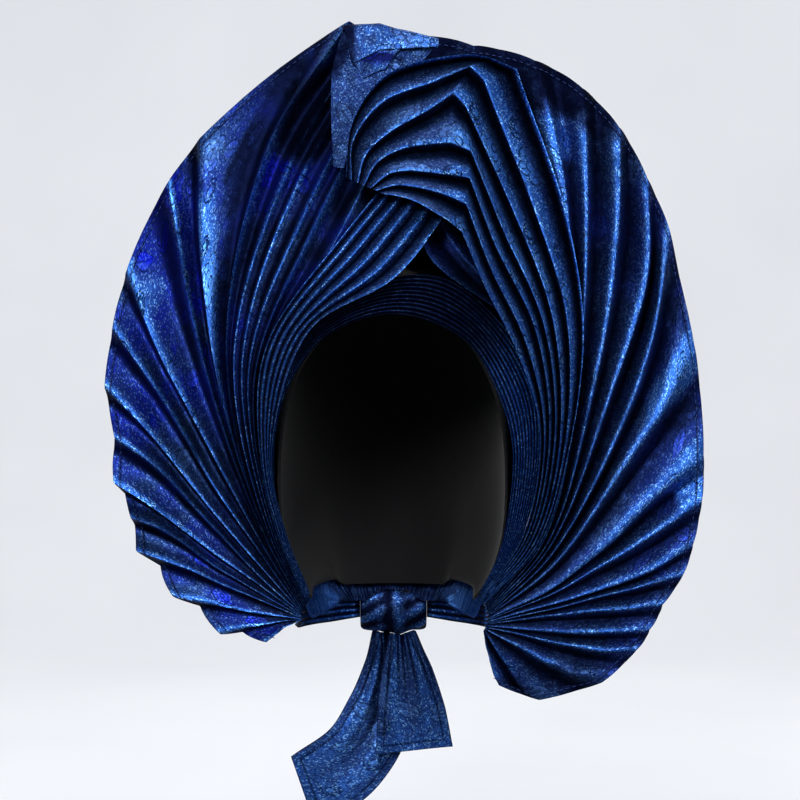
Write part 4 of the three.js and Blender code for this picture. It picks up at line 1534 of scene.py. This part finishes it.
class HEADTIE_OT_cross_pleats(bpy.types.Operator):
    """Diagonal pleats over the left temple"""

    bl_idname = "head_tie.cross_pleats"
    bl_label = "Cross pleats"

    def execute(self, context):
        ends = path_through(GATHERED["cross"], np.linspace(0, 1, len(CROSS_FOLDS)))
        shares = np.linspace(0, 1, 110)
        lines = zip(*(column(CROSS_FOLDS, CROSS_COLUMNS, name) for name in CROSS_COLUMNS))
        ridges = np.array(
            [path_through([*line, tuple(end)], shares) for line, end in zip(lines, ends)]
        )
        piece, _ = pleated(
            "cross_pleats_cloth",
            ridges,
            cross_level,
            lambda x, z: LAYER["cross_share"] * pleat_room(x, z),
            finishes()["layer_jacquard"],
            steps=7,
            valley_at=0.4,
            round=0.16,
            thick=context.scene.head_tie_cloth.thickness / MM,
            crumple=0.25,
            seed=3,
            start=(0.11, 0.4),
        )
        placed(piece, "cross_pleats")
        return {"FINISHED"}


class HEADTIE_OT_swirl_folds(bpy.types.Operator):
    """Folds that climb on the right, turn a corner and cross to the small gather"""

    bl_idname = "head_tie.swirl_folds"
    bl_label = "Swirl folds"

    def execute(self, context):
        count = len(SWIRL_FOLDS)
        even = np.linspace(0, 1, count)
        starts = path_through(GATHERED["swirl_end"], even)
        lows = path_through(GATHERED["swirl_low"], even)
        ends = path_through(GATHERED["small"], even)
        ridges = []
        for row, peak, start, low, end in zip(SWIRL_FOLDS, SWIRL_PEAKS, starts, lows, ends):
            fold = dict(zip(SWIRL_COLUMNS, row))
            rising = [fold[name] for name in ("side", "rise", "upper", "corner")]
            turning = [fold[name] for name in ("over", "turn", "fall")]
            climb = path_through([start, low, *rising], np.linspace(0, 1, 91))
            top = np.linspace(fold["corner"], peak, 9)
            across = path_through([peak, *turning, end], np.linspace(0, 1, 60))
            ridges.append(np.vstack([climb, top[1:], across[1:]]))
        piece, _ = pleated(
            "swirl_folds_cloth",
            np.array(ridges),
            swirl_level,
            lambda x, z: LAYER["swirl_share"] * pleat_room(x, z),
            finishes()["layer_jacquard"],
            steps=7,
            valley_at=0.2,
            round=0.6,
            tones=["edge"] + ["climb"] * 6,
            turn_tones=["edge"] + ["turn"] * 6,
            turned=smooth(np.arange(158), 93, 101),
            thick=context.scene.head_tie_cloth.thickness / MM,
            crumple=0.35,
            seed=4,
            start=(0.5, 0.2),
        )
        placed(piece, "swirl_folds")
        return {"FINISHED"}


class HEADTIE_OT_forehead_band(bpy.types.Operator):
    """Band of fine pleats round the face opening, dark with painted shade over the forehead"""

    bl_idname = "head_tie.forehead_band"
    bl_label = "Forehead band"

    def execute(self, context):
        shares = np.linspace(0, 1, 190)
        inner = path_through(column(BAND_SECTIONS, BAND_COLUMNS, "inner"), shares)
        outer = path_through(column(BAND_SECTIONS, BAND_COLUMNS, "outer"), shares)
        across = np.linspace(0, 1, BAND["pleats"] + 1)
        ridges = np.array([inner * (1 - at) + outer * at for at in across])
        piece, _ = pleated(
            "forehead_band_cloth",
            ridges,
            band_level,
            band_room,
            finishes()["layer_jacquard"],
            steps=4,
            thick=BAND["thick"],
            crumple=0.15,
            slope=1.6,
            round=0.12,
            sway=0.3,
            # Painted shadow over the forehead, and a little painted shine elsewhere on the band
            shadow=lambda x, z: 1.1 * smooth(z, -78, -42) * (1 - smooth(abs(x), 48, 80)) - 0.25,
            seed=5,
            start=(0.2, 0.7),
        )
        placed(piece, "forehead_band")
        return {"FINISHED"}


class HEADTIE_OT_top_panel(bpy.types.Operator):
    """Flat panel behind the swirl, turned over at the top into a short flap"""

    bl_idname = "head_tie.top_panel"
    bl_label = "Top panel"

    def execute(self, context):
        thick = context.scene.head_tie_cloth.thickness / MM
        across = np.linspace(0, 1, 41)
        panel = panel_grid(across)
        roll, roll_turns = turned_edge(panel[0], across)
        middle = np.concatenate([panel[::-1], roll])
        turns = np.concatenate([np.zeros(len(panel)), roll_turns])
        low = (np.arange(len(middle)) > len(middle) - 10)[:, None]
        facing = np.stack([np.zeros_like(turns), np.cos(turns), np.sin(turns)], axis=-1)
        bump = 0.8 * ripple(middle, 17, 6) + 0.5 * ripple(middle, 6, 8)
        loose = np.where(low, 1.3, 0.6)[..., None]
        fade = smooth(np.arange(len(middle)), 0, 8)[:, None, None]
        middle = middle - facing[:, None, :] * (loose * bump[..., None] * fade)
        half = facing[:, None, :] * (thick / 2)
        marks = plain_marks(middle)
        # Painted light and shade: the turned-over flap is painted lighter than the matt panel,
        # ruffled varies both at random, and the hollow in the flap's low rows and the panel's top
        # left corner are painted near black as shade
        over_top = (np.arange(len(middle)) > len(panel))[:, None]
        ruffled = np.clip(ripple(middle, 8, 12) * 1.6, 0, 1)
        from_hollow = np.hypot((middle[..., 0] + 10) / 15, (middle[..., 2] - 130) / 4)
        hollow = 1 - smooth(from_hollow, 0.6, 1.1)
        turned = 0.32 + 0.35 * ruffled + 0.6 * hollow * low
        corner = (1 - smooth(across, 0.12, 0.24)) * smooth(middle[..., 2], 112, 128)
        tone = np.where(over_top, turned, 0.64 + 0.15 * ruffled)
        marks["fold"] = tone + (0.95 - tone) * corner
        marks["blue"] = hollow * low
        piece = cloth_object(
            "top_panel_cloth",
            middle - half,
            middle + half,
            plain_uv(middle, (0.02, 0.015)),
            marks,
            finishes()["layer_jacquard"],
        )
        placed(piece, "top_panel")
        return {"FINISHED"}


class HEADTIE_OT_inner_cap(bpy.types.Operator):
    """Thin knit cap that the cloth is sewn to"""

    bl_idname = "head_tie.inner_cap"
    bl_label = "Knit cap"

    def execute(self, context):
        outer, inner = crown_wall(
            np.array(CAP_EDGE, float), NAPE["cap_z"], 70, 110, lambda share, back: 0, KNIT
        )
        piece = cloth_object(
            "inner_cap_knit",
            outer,
            inner,
            plain_uv(outer),
            plain_marks(outer),
            finishes()["cap_knit"],
        )
        placed(piece, "inner_cap")
        return {"FINISHED"}


class HEADTIE_OT_back_wrap(bpy.types.Operator):
    """Cloth from the back of the fan over the crown, gathered at the nape"""

    bl_idname = "head_tie.back_wrap"
    bl_label = "Back wrap"

    def execute(self, context):
        thick = context.scene.head_tie_cloth.thickness / MM
        half = [
            (x, float(dish(x, z) + pleat_room(x, z)) + LAYER["cloth"] + 3 * LAYER["gap"], z)
            for x, z in WRAP_EDGE
        ]
        edge = mirrored_arch(half)

        def rise(share, back):
            start = spline(edge, [share])[0] - HOLLOW_CENTRE
            length = np.linalg.norm(start)
            clear = KNIT + WRAP["clear"]
            stand = length - float(hollow_reach(start / length)) - clear
            wave = (1 + math.cos(2 * math.pi * WRAP["gathers"] * share)) / 2
            fine = (1 + math.cos(2 * math.pi * 5 * WRAP["gathers"] * share + 1.3)) / 2
            gathered = smooth(back, 0, WRAP["gathered_from"])
            fold = WRAP["gather_deep"] * (wave * gathered + 0.35 * fine * gathered**2)
            return clear + stand * (1 - smooth(back, 0, WRAP["settled"])) + fold

        outer, inner = crown_wall(edge, NAPE["wrap_z"], 80, 210, rise, thick)
        for wall in (outer, inner):
            low = np.minimum(wall[..., 2] + 168, 0)
            beside_knot = 0.5 + 0.5 * smooth(np.abs(wall[..., 0]), 9, 19)
            wall[..., 2] += low * (NAPE["tuck"] - 1) * smooth(wall[..., 1], 20, 45) * beside_knot
        # Painted shade in the valleys of the gathers, and on the lowest rows at the nape
        wave = (1 + np.cos(2 * np.pi * WRAP["gathers"] * np.linspace(0, 1, 211))) / 2
        back = np.linspace(0, 1, 81)[:, None]
        gathers = (1 - wave)[None, :] * smooth(back, 0, WRAP["gathered_from"]) * 0.75
        marks = {
            "fold": np.maximum(gathers, 0.85 * smooth(back, 0.88, 0.98)),
            "rim": np.ones(outer.shape[:2]),
        }
        push = outer - HOLLOW_CENTRE
        push /= np.linalg.norm(push, axis=2)[..., None]
        bump = (0.9 * ripple(outer, 30, 9) + 0.4 * ripple(outer, 11, 10) + 0.9)[..., None]
        bump = bump * 0.6 * smooth(back, 0.02, 0.12)[..., None]
        piece = cloth_object(
            "back_wrap_cloth",
            outer + push * bump,
            inner + push * bump,
            plain_uv(outer, (0.7, 0.3)),
            marks,
            finishes()["layer_jacquard"],
        )
        placed(piece, "back_wrap")
        return {"FINISHED"}


class HEADTIE_OT_ties(bpy.types.Operator):
    """Gathered ends that run round the neck to the knot"""

    bl_idname = "head_tie.ties"
    bl_label = "Ties"

    def execute(self, context):
        thick = context.scene.head_tie_cloth.thickness / MM
        for side, node, gather in ((-1, "tie_left", GATHERS[0]), (1, "tie_right", GATHERS[1])):
            sides, depths, heights = (column(TIE_PATH, TIE_COLUMNS, name) for name in TIE_COLUMNS)
            centres = [(side * x, y, TIE["z"]) for x, y in zip(sides, depths)]
            centres[0] = (centres[0][0], centres[0][1], gather[1] - TIE["below"])
            along = np.linspace(0, 1, 70)
            middle = spline(centres, along)
            heights = spline([(height, 0, 0) for height in heights], along)[:, 0]
            heading = np.gradient(middle, axis=0)
            outward = np.column_stack(
                [side * heading[:, 1], -side * heading[:, 0], np.zeros(len(along))]
            )
            outward /= np.linalg.norm(outward, axis=1)[:, None]
            across = np.linspace(0, 1, 12 * TIE["ridges"] + 1)
            wave = (1 - np.cos(2 * np.pi * TIE["ridges"] * across)) / 2
            grid = np.repeat(middle[:, None, :], len(across), axis=1)
            grid[..., 2] += heights[:, None] * (across - 0.5)[None, :]
            sway = 0.3 * ripple(grid, 14, 11 + side)
            pressed = 1 - 0.9 * smooth(along, 0.86, 1)[:, None]
            stand = (TIE["ridge_deep"] * wave[None, :] + sway) * pressed + 0.3
            inner = grid + outward[:, None, :] * stand[..., None]
            outer = inner + outward[:, None, :] * thick
            for wall in (inner, outer):
                wall[-1, :, 0] = side * (KNOT["half_width"] + KNOT_CLEAR["ties"])
            # Painted shade in the valleys between the tie's ridges
            marks = {
                "fold": np.repeat((1 - wave)[None, :], len(along), axis=0),
                "rim": np.ones(grid.shape[:2]),
            }
            piece = cloth_object(
                node + "_cloth",
                outer,
                inner,
                plain_uv(outer, (0.1, 0.9)),
                marks,
                finishes()["layer_jacquard"],
            )
            placed(piece, node)
        return {"FINISHED"}


class HEADTIE_OT_back_knot(bpy.types.Operator):
    """Knot of the two ties behind the neck"""

    bl_idname = "head_tie.back_knot"
    bl_label = "Back knot"

    def execute(self, context):
        along, around = 48, 96
        share = np.linspace(0, 1, along + 1)[:, None]
        angle = np.linspace(0, 2 * np.pi, around + 1)[None, :]
        across = -np.cos(np.pi * share)
        swell, groove = knot_form(across, angle)
        x = KNOT["half_width"] * across + 0 * angle
        y = KNOT["y"] + KNOT["half_depth"] * swell * np.cos(angle)
        z = KNOT["z"] + KNOT["half_height"] * swell * np.sin(angle)
        grid = np.stack([x, y, z], axis=-1)
        mesh = spun_mesh("back_knot_cloth", grid, np.array([0, KNOT["y"], KNOT["z"]]))
        fold = mesh.attributes.new("fold", "FLOAT", "POINT")
        rim = mesh.attributes.new("rim", "FLOAT", "POINT")
        # Painted shade: the whole knot is darkened, more in its grooves
        knot_shade = np.clip(0.68 - 9 * groove, 0.3, 1) * np.ones_like(y)
        values = np.concatenate([[0.5], knot_shade[1:-1, :-1].reshape(-1), [0.5]])
        fold.data.foreach_set("value", values.astype(np.float32))
        rim.data.foreach_set("value", np.ones(len(values), np.float32))
        mesh.shade_smooth()
        mesh.materials.append(finishes()["layer_jacquard"])
        piece = bpy.data.objects.new("back_knot_cloth", mesh)
        context.scene.collection.objects.link(piece)
        placed(piece, "back_knot")
        return {"FINISHED"}


class HEADTIE_OT_tails(bpy.types.Operator):
    """Square-cut ends that hang from the knot"""

    bl_idname = "head_tie.tails"
    bl_label = "Tails"

    def execute(self, context):
        thick = context.scene.head_tie_cloth.thickness / MM
        for node, sections, start in (
            ("tail_left", TAIL_LEFT, (0.03, 0.61)),
            ("tail_right", TAIL_RIGHT, (0.33, 0.52)),
        ):
            down = np.linspace(0, 1, 90)
            x, y, z, width, turn = (column(sections, TAIL_COLUMNS, name) for name in TAIL_COLUMNS)
            centres = spline(list(zip(x, y, z)), down)
            sizes = spline([(wide, turned, 0) for wide, turned in zip(width, turn)], down)
            across = np.linspace(-0.5, 0.5, 49)
            tilt = np.radians(sizes[:, 1])
            heading = np.column_stack([np.cos(tilt), np.zeros(len(down)), -np.sin(tilt)])
            grid = centres[:, None, :] + heading[:, None, :] * (
                across[None, :, None] * sizes[:, 0][:, None, None]
            )
            gathered = (1 - down)[:, None]
            folds = np.cos(4 * np.pi * across)[None, :] * 2.4 * gathered
            fine = np.cos(16 * np.pi * across + 1)[None, :] * 0.9 * gathered**2
            grid[..., 1] += folds + fine - 5 * across[None, :] ** 2
            grid[..., 1] += 0.8 * ripple(grid, 24, 14) * (1 - 0.3 * gathered)
            top = grid[0]
            depths = top[:, 1] + np.linspace(-1, thick + 1, 9)[:, None]
            lowest = under_knot(top[:, 0] + 0 * depths, depths).min(axis=0)
            reach = lowest - KNOT_CLEAR["tails"] - top[:, 2]
            grid[..., 2] += reach[None, :] * smooth(down, 0.2, 0)[:, None]
            front = grid.copy()
            back = grid.copy()
            back[..., 1] += thick
            side_run = (0.5 - np.abs(across))[None, :] * sizes[:, 0][:, None]
            end_run = (1 - down)[:, None] * np.linalg.norm(np.diff(centres, axis=0), axis=1).sum()
            # Partly painted highlight, and painted shade in the valleys of the tails' folds,
            # strongest near the knot
            marks = {
                "fold": 0.3
                + 0.5 * np.clip(0.5 + np.cos(4 * np.pi * across)[None, :] * 0.5, 0, 1) * gathered,
                "rim": np.minimum(side_run, end_run) * MM,
            }
            piece = cloth_object(
                node + "_cloth",
                front,
                back,
                plain_uv(front, start),
                marks,
                finishes()["front_jacquard"],
            )
            placed(piece, node)
        return {"FINISHED"}


class HEADTIE_OT_stage(bpy.types.Operator):
    """Pale floor, soft lights, background and camera"""

    bl_idname = "head_tie.stage"
    bl_label = "Stage"

    def execute(self, context):
        settings = context.scene.head_tie_stage
        floor = pale_floor(settings)
        studio_world(context.scene, settings)
        soft_lights(context.scene, settings)
        front_camera(context.scene)
        context.scene.view_settings.view_transform = "Standard"
        return {"FINISHED"}


class HEADTIE_PT_panel(bpy.types.Panel):
    """Sizes, colours and pieces of the head tie"""

    bl_label = "Head Tie"
    bl_idname = "HEADTIE_PT_panel"
    bl_space_type = "VIEW_3D"
    bl_region_type = "UI"
    bl_category = "Head Tie"

    def draw(self, context):
        layout = self.layout
        for group in SETTINGS:
            box = layout.box()
            settings = getattr(context.scene, SETTINGS[group])
            for name in group.__annotations__:
                box.prop(settings, name)
        for operator in OPERATORS:
            layout.operator(operator.bl_idname)


OPERATORS = (
    HEADTIE_OT_stage,
    HEADTIE_OT_inner_cap,
    HEADTIE_OT_forehead_band,
    HEADTIE_OT_left_fan,
    HEADTIE_OT_right_fan,
    HEADTIE_OT_cross_pleats,
    HEADTIE_OT_swirl_folds,
    HEADTIE_OT_top_panel,
    HEADTIE_OT_back_wrap,
    HEADTIE_OT_ties,
    HEADTIE_OT_back_knot,
    HEADTIE_OT_tails,
)
SETTINGS = {
    HeadTieCloth: "head_tie_cloth",
    HeadTieColours: "head_tie_colours",
    HeadTieStage: "head_tie_stage",
}


def register():
    for group, name in SETTINGS.items():
        bpy.utils.register_class(group)
        setattr(bpy.types.Scene, name, bpy.props.PointerProperty(type=group))
    for operator in OPERATORS:
        bpy.utils.register_class(operator)
    bpy.utils.register_class(HEADTIE_PT_panel)


def unregister():
    bpy.utils.unregister_class(HEADTIE_PT_panel)
    for operator in reversed(OPERATORS):
        bpy.utils.unregister_class(operator)
    for group, name in SETTINGS.items():
        delattr(bpy.types.Scene, name)
        bpy.utils.unregister_class(group)


def main():
    register()
    for operator in OPERATORS:
        group, name = operator.bl_idname.split(".")
        getattr(getattr(bpy.ops, group), name)()


if __name__ == "__main__":
    main()
